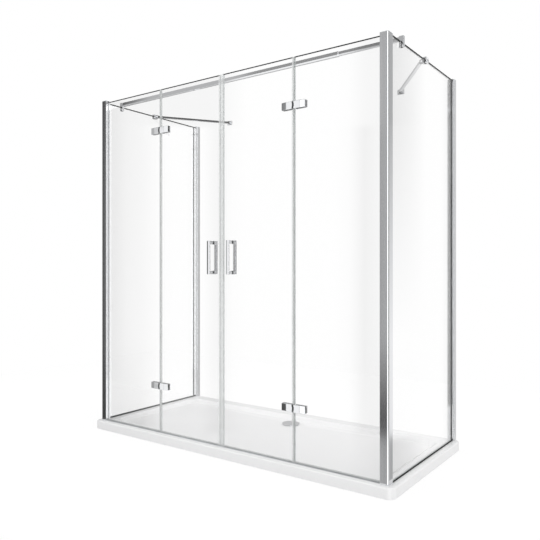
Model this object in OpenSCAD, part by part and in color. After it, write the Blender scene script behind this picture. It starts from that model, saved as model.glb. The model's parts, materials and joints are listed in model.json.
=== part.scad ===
// Rectangular shower enclosure for a bay against one wall.
// Two fixed front panels carry two hinged doors that meet in the middle; glass sides run back to the wall.
// Millimetres, Z up. The origin is on the floor at the centre of the tray, +Y points at the wall,
// and +X is to the right of a person who stands outside and faces the doors.

/* [Overall] */
// Width of the tray, left to right
tray_w = 2000; // [1600:10:2400]
// Depth of the tray, from its front edge to the wall
tray_d = 900; // [760:10:1200]
// Height of the tray's rim above the floor
tray_h = 50; // [46:1:120]
// Height of the side glass tops above the rim
screen_h = 1992; // [1700:1:2100]
// How much lower the front glass ends than the side glass
front_drop = 6; // [0:1:20]
// Thickness of all the glass
glass_t = 6; // [5:1:8]
// From the tray's side edge to the middle of the side glass
side_inset = 37.5; // [34:0.5:60]
// From the tray's front edge to the middle of the front glass
front_inset = 44; // [43:1:70]
// From the centre line to each hinge line
door_w = 463; // [380:1:560]

/* [Tray] */
// Corner radius of the tray in plan
tray_corner_r = 35; // [20:1:60]
// Radius of the tray's top edge
tray_edge_r = 8; // [3:0.5:12]
// Thickness of the acrylic cap
cap_t = 4; // [3:0.5:5]
// Width of the level rim round the basin
rim_w = 82; // [76:1:110]
// Width of the sloping basin wall in plan
slope_w = 34; // [20:1:60]
// Depth of the basin floor at its edge
basin_edge_depth = 21; // [14:0.5:23]
// Depth of the basin floor at the drain
basin_depth = 26; // [24:0.5:27]
// Corner radius of the basin at the rim
basin_corner_r = 70; // [40:1:110]
// Bond line between the acrylic cap and the cast core
bond_gap = 0.3; // [0.1:0.1:0.6]

/* [Drain] */
// From the tray's rear edge to the drain centre
drain_back = 190; // [170:5:400]
// Radius of the drain hole in the tray
drain_hole_r = 42; // [40:0.5:46]
// Radius of the level seat round the drain hole
drain_seat_r = 64; // [60:1:80]
// Outer radius of the drain flange
flange_r = 52; // [50:0.5:58]
// Thickness of the drain flange above the tray
flange_t = 2.4; // [2:0.1:4]
// Bore radius of the drain flange
flange_bore_r = 36; // [34:0.5:37]
// Wall of the flange's threaded neck
neck_wall = 4; // [2.5:0.5:4.5]
// Radial clearance of the neck in the drain body
neck_play = 0.3; // [0.1:0.1:0.5]
// How far the neck reaches below the tray skin
neck_drop = 4; // [3:0.5:6]
// Thickness of the drain gasket
drain_gasket_t = 2; // [1:0.5:3]
// Wall of the drain body
drain_wall = 4; // [3:0.5:6]
// Bore radius of the waste outlet
outlet_r = 25; // [20:0.5:28]
// Radius of the hole in the core round the drain body
core_hole_r = 58; // [56:1:70]
// Radius of the round drain cover
cover_r = 55; // [52:0.5:60]
// Thickness of the drain cover
cover_t = 3.2; // [2.5:0.1:5]
// Water gap under the edge of the drain cover
cover_gap = 3; // [2:0.5:5]
// Depth of the hair strainer's cup
strainer_h = 8; // [6:0.5:9]
// Thickness of the hair strainer
strainer_wall = 1.2; // [0.8:0.1:2]
// Width of the ledge that carries the hair strainer
strainer_ledge = 3; // [2:0.5:3.5]
// Gap round the hair strainer's cup
strainer_play = 1; // [0.5:0.1:2]
// Slots in the hair strainer
strainer_slots = 12; // [6:1:16]
// Width of the slots in the hair strainer
slot_w = 4; // [2:0.5:5]
// Radius of the stem under the drain cover
stem_r = 4; // [3:0.5:8]

/* [Wall profiles] */
// Width of the wall channel
channel_w = 36; // [32:1:46]
// Depth of the wall channel from the wall
channel_d = 28; // [22:1:34]
// Wall of the channel and of the adjusting profile
profile_wall = 2; // [1.5:0.1:2.5]
// From the side glass to the outer face of the wall channel
channel_out = 12.5; // [11:0.5:16]
// How far the adjusting profile's face stands from the wall
adjust_reach = 43; // [40:1:60]
// Depth of the adjusting profile
adjust_d = 38; // [30:1:38]
// Side play of the adjusting profile in the channel
adjust_play = 0.4; // [0.2:0.1:0.8]
// Radius of the wall screw holes
wall_hole_r = 2.6; // [2:0.1:3.5]
// From the channel's ends to its outer screw holes
wall_hole_end = 120; // [60:5:300]
// From the channel's ends to its inner screw holes
wall_hole_mid = 720; // [500:5:820]

/* [Corner posts] */
// Width of the post, along the front
post_w = 42; // [38:0.5:54]
// Depth of the post, along the side
post_d = 46; // [44:1:60]
// From the post's front face to the middle of the front glass
post_front = 18; // [17:0.5:24]
// Wall thickness of the post
post_wall = 2; // [1.5:0.1:2.2]
// Radius of the post's outer corner
post_corner_r = 8; // [4:0.5:9]
// Depth of the glass pockets
pocket_d = 16; // [12:0.5:18]
// Gap between the side glass top and the post's end cap
post_over = 0.5; // [0.5:0.5:30]
// Thickness of the end caps
cap_plate_t = 2.5; // [2:0.5:5]
// Thickness of the feet under the posts
foot_t = 4; // [2:0.5:5]
// Length of the caps' plugs inside the posts
cap_plug_h = 12; // [6:1:25]
// Side play of the plugs
plug_play = 0.3; // [0.2:0.1:0.6]

/* [Seals] */
// Thickness of the glazing gasket beside the glass
gasket_t = 1; // [0.8:0.1:1.5]
// Thickness of the glazing gasket under the glass edge
gasket_web = 1.5; // [1:0.1:3]
// How far the gasket stands out of its pocket
gasket_lip = 1.2; // [0.5:0.1:2]
// Height of the threshold strip
threshold_h = 3.6; // [3:0.1:8]
// Depth of the threshold strip
threshold_d = 22; // [18:1:34]
// Gap between the door sweep and the threshold
sweep_gap = 0.4; // [0.3:0.1:1]
// Thickness of a seal's web
seal_web = 1.5; // [1:0.1:2.5]
// Thickness of a seal's legs on the glass
seal_leg_t = 1.2; // [0.8:0.1:1.5]
// Length of a bottom seal's legs
bottom_leg = 4; // [3:0.5:9]
// Gap between door glass and fixed glass
joint_gap = 6; // [5:0.5:8]
// Length of the side seal's legs on the door glass
side_leg = 8; // [5:0.5:12]
// Length of the side seal's fin behind the fixed glass
side_fin = 4; // [2:0.5:5]
// Clearance of the side seal to the fixed glass
side_play = 0.4; // [0.3:0.1:0.8]
// Width of each magnetic profile beyond the door glass
magnet_w = 8.5; // [8:0.5:16]
// Length of the magnetic seal's legs on the door glass
magnet_leg = 9.5; // [6:0.5:16]
// Gap between the two closed magnetic seals
meet_gap = 0.7; // [0.7:0.1:1.5]

/* [Hinges] */
// Width of a hinge over both leaves
hinge_w = 140; // [130:1:180]
// Height of a hinge
hinge_h = 37; // [32:1:60]
// Thickness of the outer leaves
leaf_t = 9; // [8:0.5:12]
// Thickness of the inner clamp plates
clamp_plate_t = 8; // [4.5:0.5:12]
// Thickness of the pads between hinge and glass
pad_t = 1; // [0.8:0.1:1.5]
// Gap between a knuckle and the other leaf
knuckle_gap = 2; // [2:0.1:3]
// Height of each end knuckle
end_knuckle_h = 9.5; // [7:0.5:11]
// Up and down play of the middle knuckle
knuckle_play = 0.5; // [0.3:0.1:1]
// Radius of the hinge pin
pin_r = 2.2; // [1.8:0.1:2.6]
// Running clearance round the hinge pin in the door leaf
pin_running = 0.05; // [0.02:0.01:0.1]
// Clearance round the hinge pin in the fixed leaf
pin_seat = 0.03; // [0.01:0.01:0.08]
// Corner radius of the hinge plates
plate_corner_r = 3; // [1:0.5:6]
// From the hinge line to the near clamp screws
screw_near = 24; // [20:1:30]
// From the hinge line to the far clamp screws
screw_far = 54; // [45:1:56]
// Radius of the clamp screws
screw_r = 3; // [2.5:0.1:3.5]
// Radius of the clamp screw heads
screw_head_r = 5.5; // [4.5:0.1:7]
// Height of the clamp screw heads
screw_head_h = 3; // [2:0.1:4]
// Clearance round screws, heads and studs
screw_play = 0.2; // [0.1:0.1:0.4]
// Depth of a clamp screw in the outer leaf
screw_bite = 6; // [4:0.5:7]
// Radius of the holes in the glass
glass_hole_r = 5.5; // [4.5:0.5:7]
// How far the pads lie inside the edges of the hinge plates
pad_inset = 1; // [0.5:0.1:2]
// Gap in the side seals above and below each hinge
seal_break = 1; // [0.5:0.1:5]
// Height of the lower hinge centre above the rim
hinge_low = 269; // [150:1:500]
// From the front glass top down to the upper hinge centre
hinge_drop = 237; // [150:1:500]

/* [Handles] */
// Height of a handle
handle_h = 180; // [150:5:400]
// Width of the handle bar
handle_w = 19; // [19:0.5:25]
// Thickness of the handle bar
handle_t = 7.5; // [5:0.5:12]
// How far a handle stands out from the glass
handle_reach = 31; // [30:1:60]
// Height of each handle leg
handle_leg = 19; // [19:0.5:26]
// From the centre line to the middle of a handle
handle_in = 66.5; // [50:0.5:120]
// Height of the handle centres above the rim
handle_up = 1009; // [800:1:1200]
// Thickness of the handle washers
washer_t = 3.5; // [0.5:0.5:5]
// Radius of the handle washers
washer_r = 8; // [6:0.5:9]
// Depth of the studs in the handle legs
stud_bite = 12; // [8:1:20]

/* [Top bar] */
// From the front glass back to the middle of the bar
bar_setback = 140; // [100:0.5:300]
// Height of the bar's outer tube
bar_h = 25; // [20:1:40]
// Depth of the bar's outer tube
bar_d = 15; // [12:1:25]
// Wall of the bar's tubes
bar_wall = 1.5; // [1:0.1:2]
// Play between the two tubes and round the spigots
bar_play = 0.25; // [0.15:0.05:0.4]
// Where the outer tube ends, from the centre line
bar_seam_x = 632; // [300:1:780]
// How far the inner tube reaches into the outer one
bar_overlap = 80; // [40:5:200]
// Thickness of the clamp jaws beside the glass
jaw_t = 8; // [6:0.5:12]
// Thickness of the rubber between jaws and glass
jaw_pad_t = 1; // [0.5:0.1:2]
// How far the bar clamps reach down over the glass
bar_clamp_drop = 26; // [18:1:40]
// Height of the bar's underside above the side glass
bar_lift = 0.5; // [0:0.5:6]
// How far the clamps rise above the bar
clamp_over = 1; // [0.5:0.5:5]
// Length of the clamp spigots inside the tubes
spigot_l = 20; // [12:1:40]
// Radius of the clamp set screws
set_screw_r = 2.5; // [2:0.1:3]

/* [Wall braces] */
// From the wall forward to the middle of the brace clamp
brace_forward = 428; // [300:1:520]
// From the side glass to the middle of each brace's wall plate, along the wall
brace_run = 312.5; // [180:0.5:480]
// Length of the brace clamp along the glass
brace_clamp_l = 30; // [24:1:50]
// How far the brace clamp reaches down over the glass
brace_clamp_drop = 19; // [18:1:40]
// How far the brace clamp rises above the glass
brace_clamp_rise = 9; // [6:1:24]
// Width of the brace arm
arm_w = 16; // [13:0.5:18]
// Height of the brace arm
arm_h = 12; // [8:0.5:14]
// From the glass top down to the middle of the arm
arm_drop = 7.5; // [6:0.5:10]
// Thickness of the lugs that hold the arm
lug_t = 3; // [2:0.5:5]
// Up and down play of the arm between its lugs
lug_play = 0.2; // [0.1:0.1:0.5]
// Gap between an arm's end and the part that holds it
eye_gap = 1; // [0.5:0.1:3]
// Radius of the brace pins
brace_pin_r = 3; // [2.5:0.1:4]
// Clearance round the brace pins
brace_pin_play = 0.05; // [0.02:0.01:0.1]
// Width of the brace's wall plate
wall_plate_w = 42; // [41:1:70]
// Height of the brace's wall plate
wall_plate_h = 30; // [28:1:60]
// Thickness of the brace's wall plate
wall_plate_t = 5; // [3:0.5:8]
// Distance between the wall plate's two screw holes
wall_plate_holes = 30; // [28:1:32]
// Radius of the round grip on a brace clamp's screw
grip_r = 9; // [6:0.5:10]
// Thickness of the round grip
grip_t = 4; // [3:0.5:8]

/* [Hidden] */
$fn = 64;
hull_fn = 32;
cut = 1;
sliver = 0.01;

// Levels and planes that several pieces share
half_w = tray_w / 2;
half_d = tray_d / 2;
rim_z = tray_h;
glass_top = rim_z + screen_h;
front_top = glass_top - front_drop;
glass_z0 = rim_z + threshold_h + sweep_gap + seal_web;
side_x = half_w - side_inset;
front_y = front_inset - half_d;
glass_half = glass_t / 2;
front_face = front_y - glass_half;
back_face = front_y + glass_half;
slot_half = glass_half + gasket_t;

// Basin and drain
edge_z = rim_z - basin_edge_depth;
floor_z = rim_z - basin_depth;
skin_z = floor_z - cap_t;
drain_y = half_d - drain_back;
neck_r = flange_bore_r + neck_wall;
body_bore_r = neck_r + neck_play;
body_r = body_bore_r + drain_wall;
body_top = skin_z - drain_gasket_t;
body_floor = drain_wall + drain_wall;
cover_z0 = floor_z + flange_t + cover_gap;
strainer_lip_r = flange_bore_r + strainer_ledge;
strainer_r = flange_bore_r - strainer_play;
strainer_z0 = floor_z + flange_t - strainer_h;

// Corner post, right-hand side
post_x1 = side_x + slot_half + post_wall;
post_x0 = post_x1 - post_w;
post_y0 = front_y - post_front;
post_y1 = post_y0 + post_d;
post_top = glass_top + post_over + cap_plate_t;
front_pocket_x = post_x0 + pocket_d;
side_pocket_y = post_y1 - pocket_d;

// Wall profiles, right-hand side
channel_x1 = side_x + channel_out;
channel_x0 = channel_x1 - channel_w;
channel_mid = (channel_x0 + channel_x1) / 2;
channel_y0 = half_d - channel_d;
adjust_x0 = channel_x0 + profile_wall + adjust_play;
adjust_x1 = channel_x1 - profile_wall - adjust_play;
adjust_y0 = half_d - adjust_reach;
adjust_y1 = adjust_y0 + adjust_d;
rear_pocket_y = adjust_y0 + pocket_d;

// Doors, right-hand side
door_x0 = meet_gap / 2 + magnet_w;
door_x1 = door_w - joint_gap / 2;
fixed_x0 = door_w + joint_gap / 2;
fixed_x1 = front_pocket_x - gasket_web;
seal_half = glass_half + seal_leg_t;
sweep_z0 = rim_z + threshold_h + sweep_gap;
hinge_zs = [rim_z + hinge_low, front_top - hinge_drop];
hinge_half = hinge_h / 2;
leaf_back = front_face - pad_t;
leaf_front = leaf_back - leaf_t;
pivot_y = (leaf_back + leaf_front) / 2;
knuckle_r = leaf_t / 2;
leaf_x0 = knuckle_r + knuckle_gap;
leaf_x1 = hinge_w / 2;
clamp_y0 = back_face + pad_t;
clamp_y1 = clamp_y0 + clamp_plate_t;
seal_end = hinge_half + seal_break;

// Handles
handle_z = rim_z + handle_up;
handle_zs = [handle_z - (handle_h - handle_leg) / 2, handle_z + (handle_h - handle_leg) / 2];

// Top bar and braces
bar_y = front_y + bar_setback;
bar_z0 = glass_top + bar_lift;
bar_z1 = bar_z0 + bar_h;
jaw_x = glass_half + jaw_pad_t + jaw_t;
jaw_slot = glass_half + jaw_pad_t;
tube_x1 = side_x - jaw_x;
inner_h = bar_h - 2 * bar_wall - 2 * bar_play;
inner_d = bar_d - 2 * bar_wall - 2 * bar_play;
bar_mid_z = (bar_z0 + bar_z1) / 2;
set_screw_z = glass_top - bar_clamp_drop / 2;
brace_screw_z = glass_top - brace_clamp_drop / 2;
brace_y = half_d - brace_forward;
arm_z0 = glass_top - arm_drop - arm_h / 2;
arm_z1 = arm_z0 + arm_h;
arm_mid_z = (arm_z0 + arm_z1) / 2;
eye_r = arm_w / 2;
eye_offset = eye_r + eye_gap;
arm_a = [side_x - jaw_x - eye_offset, brace_y];
wall_plate_x = side_x - brace_run;
arm_b = [wall_plate_x, half_d - wall_plate_t - eye_offset];
arm_l = norm(arm_b - arm_a);
arm_angle = atan2(arm_b[1] - arm_a[1], arm_b[0] - arm_a[0]);
pin_z0 = arm_z0 - lug_play - lug_t;
pin_z1 = arm_z1 + lug_play + lug_t;

acrylic = [0.95, 0.95, 0.95];
resin = [0.72, 0.72, 0.70];
chrome = [0.75, 0.76, 0.78];
steel = [0.60, 0.61, 0.63];
clear_glass = [0.82, 0.92, 0.90, 0.35];
clear_pvc = [0.85, 0.87, 0.88, 0.75];
rubber = [0.12, 0.12, 0.12];
black_plastic = [0.20, 0.20, 0.21];

// Small shapes that repeat

module block(x0, x1, y0, y1, z0, z1) {
    translate([x0, y0, z0]) cube([x1 - x0, y1 - y0, z1 - z0]);
}

module rect(x0, x1, y0, y1) {
    translate([x0, y0]) square([x1 - x0, y1 - y0]);
}

// A rectangle with four round corners
module round_rect(x0, x1, y0, y1, r) {
    rect(x0 + r, x1 - r, y0, y1);
    rect(x0, x1, y0 + r, y1 - r);
    for (x = [x0 + r, x1 - r], y = [y0 + r, y1 - r]) translate([x, y]) circle(r);
}

// A rod along Y between two faces
module rod_y(y0, y1, r) {
    translate([0, y0, 0]) rotate([-90, 0, 0]) cylinder(r = r, h = y1 - y0);
}

// A rod along X between two faces
module rod_x(x0, x1, r) {
    translate([x0, 0, 0]) rotate([0, 90, 0]) cylinder(r = r, h = x1 - x0);
}

// An upright outline in X and Z, given thickness along Y
module plate_y(y0, y1) {
    translate([0, y1, 0]) rotate([90, 0, 0]) linear_extrude(y1 - y0) children();
}

// A profile in X and Y that stands between two levels
module upright(z0, z1) {
    translate([0, 0, z0]) linear_extrude(z1 - z0) children();
}

// A piece and its mirror image on the other side
module both_sides() {
    children();
    mirror([1, 0, 0]) children();
}

module other_side() {
    mirror([1, 0, 0]) children();
}

function arc(x, y, r, a0, a1, n) = [
    for (i = [0:n]) [x + r * cos(a0 + (a1 - a0) * i / n), y + r * sin(a0 + (a1 - a0) * i / n)]
];

// Tray and drain

// One corner of the tray: a short column with a rounded top edge
module tray_corner() {
    outline = concat(
        [[0, 0], [tray_corner_r, 0]],
        arc(tray_corner_r - tray_edge_r, tray_h - tray_edge_r, tray_edge_r, 0, 90, 6),
        [[0, tray_h]]
    );
    rotate_extrude($fn = hull_fn) polygon(outline);
}

module tray_outside() {
    x = half_w - tray_corner_r;
    y = half_d - tray_corner_r;
    hull() for (sx = [-x, x], sy = [-y, y]) translate([sx, sy, 0]) tray_corner();
}

// Plan of the tray, drawn in from its edge
module tray_plan(inset) {
    round_rect(inset - half_w, half_w - inset, inset - half_d, half_d - inset, tray_corner_r - inset);
}

// Level outline of the basin, drawn in from the tray's edge
module basin_outline(inset, r) {
    round_rect(inset - half_w, half_w - inset, inset - half_d, half_d - inset, r, $fn = hull_fn);
}

// The space in the basin, grown by a wall on its sides and below
module basin(grow) {
    hull() {
        upright(rim_z, rim_z + cut) basin_outline(rim_w - grow, basin_corner_r + grow);
        upright(edge_z - grow, edge_z - grow + sliver)
            basin_outline(rim_w + slope_w - grow, basin_corner_r - slope_w + grow);
        translate([0, drain_y, floor_z - grow]) cylinder(r = drain_seat_r + grow, h = sliver, $fn = hull_fn);
    }
}

module tray_cap() {
    color(acrylic) difference() {
        tray_outside();
        basin(0);
        difference() {
            upright(-cut, rim_z - cap_t) tray_plan(cap_t);
            basin(cap_t);
        }
        translate([0, drain_y, 0]) cylinder(r = drain_hole_r, h = tray_h);
    }
}

module tray_core() {
    color(resin) difference() {
        upright(0, rim_z - cap_t - bond_gap) tray_plan(cap_t + bond_gap);
        basin(cap_t + bond_gap);
        translate([0, drain_y, -cut]) cylinder(r = core_hole_r, h = tray_h);
    }
}

// Chromed flange that grips the tray skin from above, with a rebate for the strainer's lip
module drain_flange() {
    top = floor_z + flange_t;
    color(chrome) translate([0, drain_y, 0]) difference() {
        union() {
            upright(floor_z, top) circle(flange_r);
            upright(skin_z - neck_drop, top) circle(neck_r);
        }
        upright(0, tray_h) circle(flange_bore_r);
        upright(top - strainer_wall, tray_h) circle(strainer_lip_r + screw_play);
    }
}

module drain_gasket() {
    color(rubber) translate([0, drain_y, 0]) upright(body_top, skin_z) difference() {
        circle(flange_r);
        circle(drain_hole_r);
    }
}

// Waste body under the tray, open at the outlet in the floor
module drain_body() {
    color(black_plastic) translate([0, drain_y, 0]) difference() {
        union() {
            upright(body_top - drain_wall, body_top) circle(flange_r);
            upright(drain_wall, body_top) circle(body_r);
            upright(0, body_floor) circle(outlet_r + drain_wall);
        }
        upright(body_floor, tray_h) circle(body_bore_r);
        upright(-cut, tray_h) circle(outlet_r);
    }
}

// Shallow round cover with a turned-down edge and a stem that stands in the strainer
module drain_cover() {
    z1 = cover_z0 + cover_t;
    edge = cover_t / 2;
    outline = concat(
        [[0, cover_z0], [cover_r, cover_z0]],
        arc(cover_r - edge, z1 - edge, edge, 0, 90, 4),
        [[0, z1]]
    );
    color(chrome) translate([0, drain_y, 0]) {
        rotate_extrude() polygon(outline);
        upright(strainer_z0 + strainer_wall, cover_z0 + cut) circle(stem_r);
    }
}

module hair_strainer() {
    top = floor_z + flange_t;
    color(steel) translate([0, drain_y, 0]) difference() {
        union() {
            upright(top - strainer_wall, top) circle(strainer_lip_r);
            upright(strainer_z0, top) circle(strainer_r);
        }
        upright(strainer_z0 + strainer_wall, tray_h) circle(strainer_r - strainer_wall);
        for (i = [1:strainer_slots]) rotate(i * 360 / strainer_slots)
            block(
                3 * slot_w, strainer_r - slot_w, -slot_w / 2, slot_w / 2,
                0, strainer_z0 + strainer_wall + cut
            );
    }
}

// Side frames

module wall_channel_right() {
    color(chrome) difference() {
        upright(rim_z, glass_top) difference() {
            rect(channel_x0, channel_x1, channel_y0, half_d);
            rect(
                channel_x0 + profile_wall, channel_x1 - profile_wall,
                channel_y0 - cut, half_d - profile_wall
            );
        }
        for (from_end = [wall_hole_end, wall_hole_mid], z = [rim_z + from_end, glass_top - from_end])
            translate([channel_mid, 0, z]) rod_y(channel_y0, half_d + cut, wall_hole_r);
    }
}

module adjusting_profile_right() {
    pocket_wall = slot_half + profile_wall;
    color(chrome) upright(rim_z, glass_top) {
        difference() {
            rect(adjust_x0, adjust_x1, adjust_y0, adjust_y1);
            rect(
                adjust_x0 + profile_wall, adjust_x1 - profile_wall,
                adjust_y0 + profile_wall, adjust_y1 + cut
            );
            rect(side_x - slot_half, side_x + slot_half, adjust_y0 - cut, rear_pocket_y);
        }
        difference() {
            rect(side_x - pocket_wall, side_x + pocket_wall, adjust_y0, rear_pocket_y + profile_wall);
            rect(side_x - slot_half, side_x + slot_half, adjust_y0 - cut, rear_pocket_y);
        }
    }
}

module side_glass_right() {
    color(clear_glass) block(
        side_x - glass_half, side_x + glass_half,
        side_pocket_y + gasket_web, rear_pocket_y - gasket_web,
        glass_z0, glass_top
    );
}

// The post's outline, drawn in by a wall, with its outer corner round
module post_outline(inset) {
    r = post_corner_r - inset;
    x1 = post_x1 - inset;
    y0 = post_y0 + inset;
    rect(post_x0 + inset, x1 - r, y0, post_y1 - inset);
    rect(post_x0 + inset, x1, y0 + r, post_y1 - inset);
    translate([x1 - r, y0 + r]) circle(r);
}

// The two glass pockets, grown by a wall
module post_pockets(grow) {
    rect(post_x0 - cut, front_pocket_x + grow, front_y - slot_half - grow, front_y + slot_half + grow);
    rect(side_x - slot_half - grow, side_x + slot_half + grow, side_pocket_y - grow, post_y1 + cut);
}

// The hollow chambers inside the post
module post_chambers(inset) {
    difference() {
        post_outline(post_wall + inset);
        post_pockets(post_wall + inset);
        rect(
            front_pocket_x - inset, front_pocket_x + post_wall + inset,
            front_y, post_y1
        );
    }
}

module corner_post_right() {
    color(chrome) upright(rim_z + foot_t, post_top - cap_plate_t) difference() {
        post_outline(0);
        post_pockets(0);
        post_chambers(0);
    }
}

// Flat caps on the posts and the wall channels, with plugs in the posts' front chambers
module end_caps_right() {
    plug_y1 = front_y - slot_half - post_wall - plug_play;
    upright(rim_z, rim_z + foot_t) post_outline(0);
    upright(post_top - cap_plate_t, post_top) post_outline(0);
    for (z = [rim_z + foot_t, post_top - cap_plate_t - cap_plug_h])
        upright(z, z + cap_plug_h) intersection() {
            post_outline(post_wall + plug_play);
            rect(post_x0, post_x1, post_y0, plug_y1);
        }
    upright(glass_top, glass_top + cap_plate_t) rect(channel_x0, channel_x1, channel_y0, half_d);
}

module profile_end_caps() {
    color(steel) both_sides() end_caps_right();
}

// A U round a glass edge, open towards +Y, in a pocket whose bottom is at y = 0
module gasket_u(length) {
    difference() {
        rect(-slot_half, slot_half, 0, length);
        rect(-glass_half, glass_half, gasket_web, length + cut);
    }
}

module gaskets_right() {
    length = pocket_d + gasket_lip;
    upright(glass_z0, glass_top) {
        translate([side_x, side_pocket_y]) gasket_u(length);
        translate([side_x, rear_pocket_y]) rotate(180) gasket_u(length);
    }
    upright(glass_z0, front_top) translate([front_pocket_x, front_y]) rotate(90) gasket_u(length);
}

module glazing_gaskets() {
    color(rubber) both_sides() gaskets_right();
}

// Front glass and its seals

module at_hinges() {
    for (z = hinge_zs) translate([door_w, 0, z]) children();
}

// Holes for the clamp screws, in the leaf that points along +X
module at_clamp_screws() {
    for (x = [screw_near, screw_far]) translate([x, 0, 0]) children();
}

module fixed_glass_right() {
    color(clear_glass) difference() {
        block(fixed_x0, fixed_x1, front_face, back_face, glass_z0, front_top);
        at_hinges() at_clamp_screws() rod_y(front_face - cut, back_face + cut, glass_hole_r);
    }
}

module door_glass_right() {
    color(clear_glass) difference() {
        block(door_x0, door_x1, front_face, back_face, glass_z0, front_top);
        at_hinges() other_side() at_clamp_screws() rod_y(front_face - cut, back_face + cut, glass_hole_r);
        at_handle_studs() rod_y(front_face - cut, back_face + cut, glass_hole_r);
    }
}

// Low strip on the tray rim, with a bevelled front
module threshold_strip() {
    y1 = front_y + threshold_d / 2;
    y0 = y1 - threshold_d;
    x1 = post_x0 - plug_play;
    bevel = threshold_h / 2;
    outline = [
        [y0, rim_z], [y1, rim_z], [y1, rim_z + threshold_h],
        [y0 + bevel, rim_z + threshold_h], [y0, rim_z + bevel]
    ];
    color(chrome) translate([-x1, 0, 0]) rotate([90, 0, 90]) linear_extrude(2 * x1) polygon(outline);
}

// A U under a glass edge along X: its web from z0 up to the glass, and two legs
module bottom_u_x(x0, x1, z0) {
    difference() {
        block(x0, x1, front_y - seal_half, front_y + seal_half, z0, glass_z0 + bottom_leg);
        block(x0 - cut, x1 + cut, front_face, back_face, glass_z0, front_top);
    }
}

module bottom_seals() {
    color(clear_pvc) both_sides() {
        bottom_u_x(fixed_x0 + side_fin + side_play, post_x0 - gasket_lip - plug_play, rim_z + threshold_h);
        block(
            side_x - slot_half, side_x + slot_half,
            post_y1 + plug_play, adjust_y0 - plug_play,
            rim_z, glass_z0
        );
    }
}

module door_sweep_right() {
    x0 = door_x0 + magnet_leg + plug_play;
    x1 = door_x1 - side_leg - plug_play;
    color(clear_pvc) bottom_u_x(x0, x1, sweep_z0);
}

// Door seal on the hinge side, cut away at both hinges
module door_side_seal_right() {
    levels = [
        [sweep_z0, hinge_zs[0] - seal_end],
        [hinge_zs[0] + seal_end, hinge_zs[1] - seal_end],
        [hinge_zs[1] + seal_end, front_top]
    ];
    fin_y = back_face + side_play;
    color(clear_pvc) for (level = levels) difference() {
        upright(level[0], level[1]) {
            rect(door_x1 - side_leg, fixed_x0 - side_play, front_y - seal_half, front_y + seal_half);
            rect(fixed_x0 - side_play - cut, fixed_x0 + side_fin, fin_y, back_face + seal_leg_t);
        }
        block(door_x1 - side_leg - cut, door_x1, front_face, back_face, glass_z0, front_top + cut);
    }
}

module door_magnet_seal_right() {
    x0 = meet_gap / 2;
    color(clear_pvc) difference() {
        block(x0, door_x0 + magnet_leg, front_y - seal_half, front_y + seal_half, sweep_z0, front_top);
        block(door_x0, door_x0 + magnet_leg + cut, front_face, back_face, glass_z0, front_top + cut);
    }
}

// Hinges. Each leaf is drawn pointing along +X from the hinge line, and mirrored for the door.

module hinge_plate(y0, y1, inset) {
    plate_y(y0, y1) round_rect(
        leaf_x0 + inset, leaf_x1 - inset,
        inset - hinge_half, hinge_half - inset, plate_corner_r
    );
}

// A knuckle between two levels, with its tab to the plate
module knuckle(z0, z1) {
    translate([0, pivot_y, z0]) cylinder(r = knuckle_r, h = z1 - z0);
    block(0, leaf_x0 + plate_corner_r, pivot_y - knuckle_r, pivot_y + knuckle_r, z0, z1);
}

module leaf_screw_bores() {
    at_clamp_screws() rod_y(leaf_back - screw_bite - cut, leaf_back + cut, screw_r + screw_play);
}

module fixed_leaf() {
    difference() {
        union() {
            hinge_plate(leaf_front, leaf_back, 0);
            knuckle(-hinge_half, end_knuckle_h - hinge_half);
            knuckle(hinge_half - end_knuckle_h, hinge_half);
        }
        translate([0, pivot_y, -hinge_half - cut]) cylinder(r = pin_r + pin_seat, h = hinge_h + 2 * cut);
        leaf_screw_bores();
    }
}

module door_leaf() {
    z = hinge_half - end_knuckle_h - knuckle_play;
    difference() {
        union() {
            hinge_plate(leaf_front, leaf_back, 0);
            knuckle(-z, z);
        }
        translate([0, pivot_y, -hinge_half - cut]) cylinder(r = pin_r + pin_running, h = hinge_h + 2 * cut);
        leaf_screw_bores();
    }
}

module clamp_plate() {
    difference() {
        hinge_plate(clamp_y0, clamp_y1, 0);
        at_clamp_screws() {
            rod_y(clamp_y0 - cut, clamp_y1 + cut, screw_r + screw_play);
            rod_y(clamp_y1 - screw_head_h, clamp_y1 + cut, screw_head_r + screw_play);
        }
    }
}

module leaf_pads() {
    difference() {
        union() {
            hinge_plate(leaf_back, front_face, pad_inset);
            hinge_plate(back_face, clamp_y0, pad_inset);
        }
        at_clamp_screws() rod_y(leaf_back - cut, clamp_y0 + cut, screw_r + screw_play);
    }
}

module clamp_screws_of_leaf() {
    at_clamp_screws() {
        rod_y(leaf_back - screw_bite, clamp_y1 - screw_head_h + sliver, screw_r);
        rod_y(clamp_y1 - screw_head_h, clamp_y1, screw_head_r);
    }
}

module hinge_fixed_leaves() {
    color(chrome) both_sides() at_hinges() fixed_leaf();
}

module hinge_fixed_clamps() {
    color(chrome) both_sides() at_hinges() clamp_plate();
}

module hinge_fixed_pads() {
    color(rubber) both_sides() at_hinges() leaf_pads();
}

module hinge_fixed_screws() {
    color(steel) both_sides() at_hinges() clamp_screws_of_leaf();
}

module hinge_pins() {
    color(steel) both_sides() at_hinges()
        translate([0, pivot_y, -hinge_half]) cylinder(r = pin_r, h = hinge_h);
}

module door_hinge_leaves_right() {
    color(chrome) at_hinges() other_side() door_leaf();
}

module door_hinge_clamps_right() {
    color(chrome) at_hinges() other_side() clamp_plate();
}

// Handles

module at_handle_studs() {
    for (z = handle_zs) translate([handle_in, 0, z]) children();
}

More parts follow.
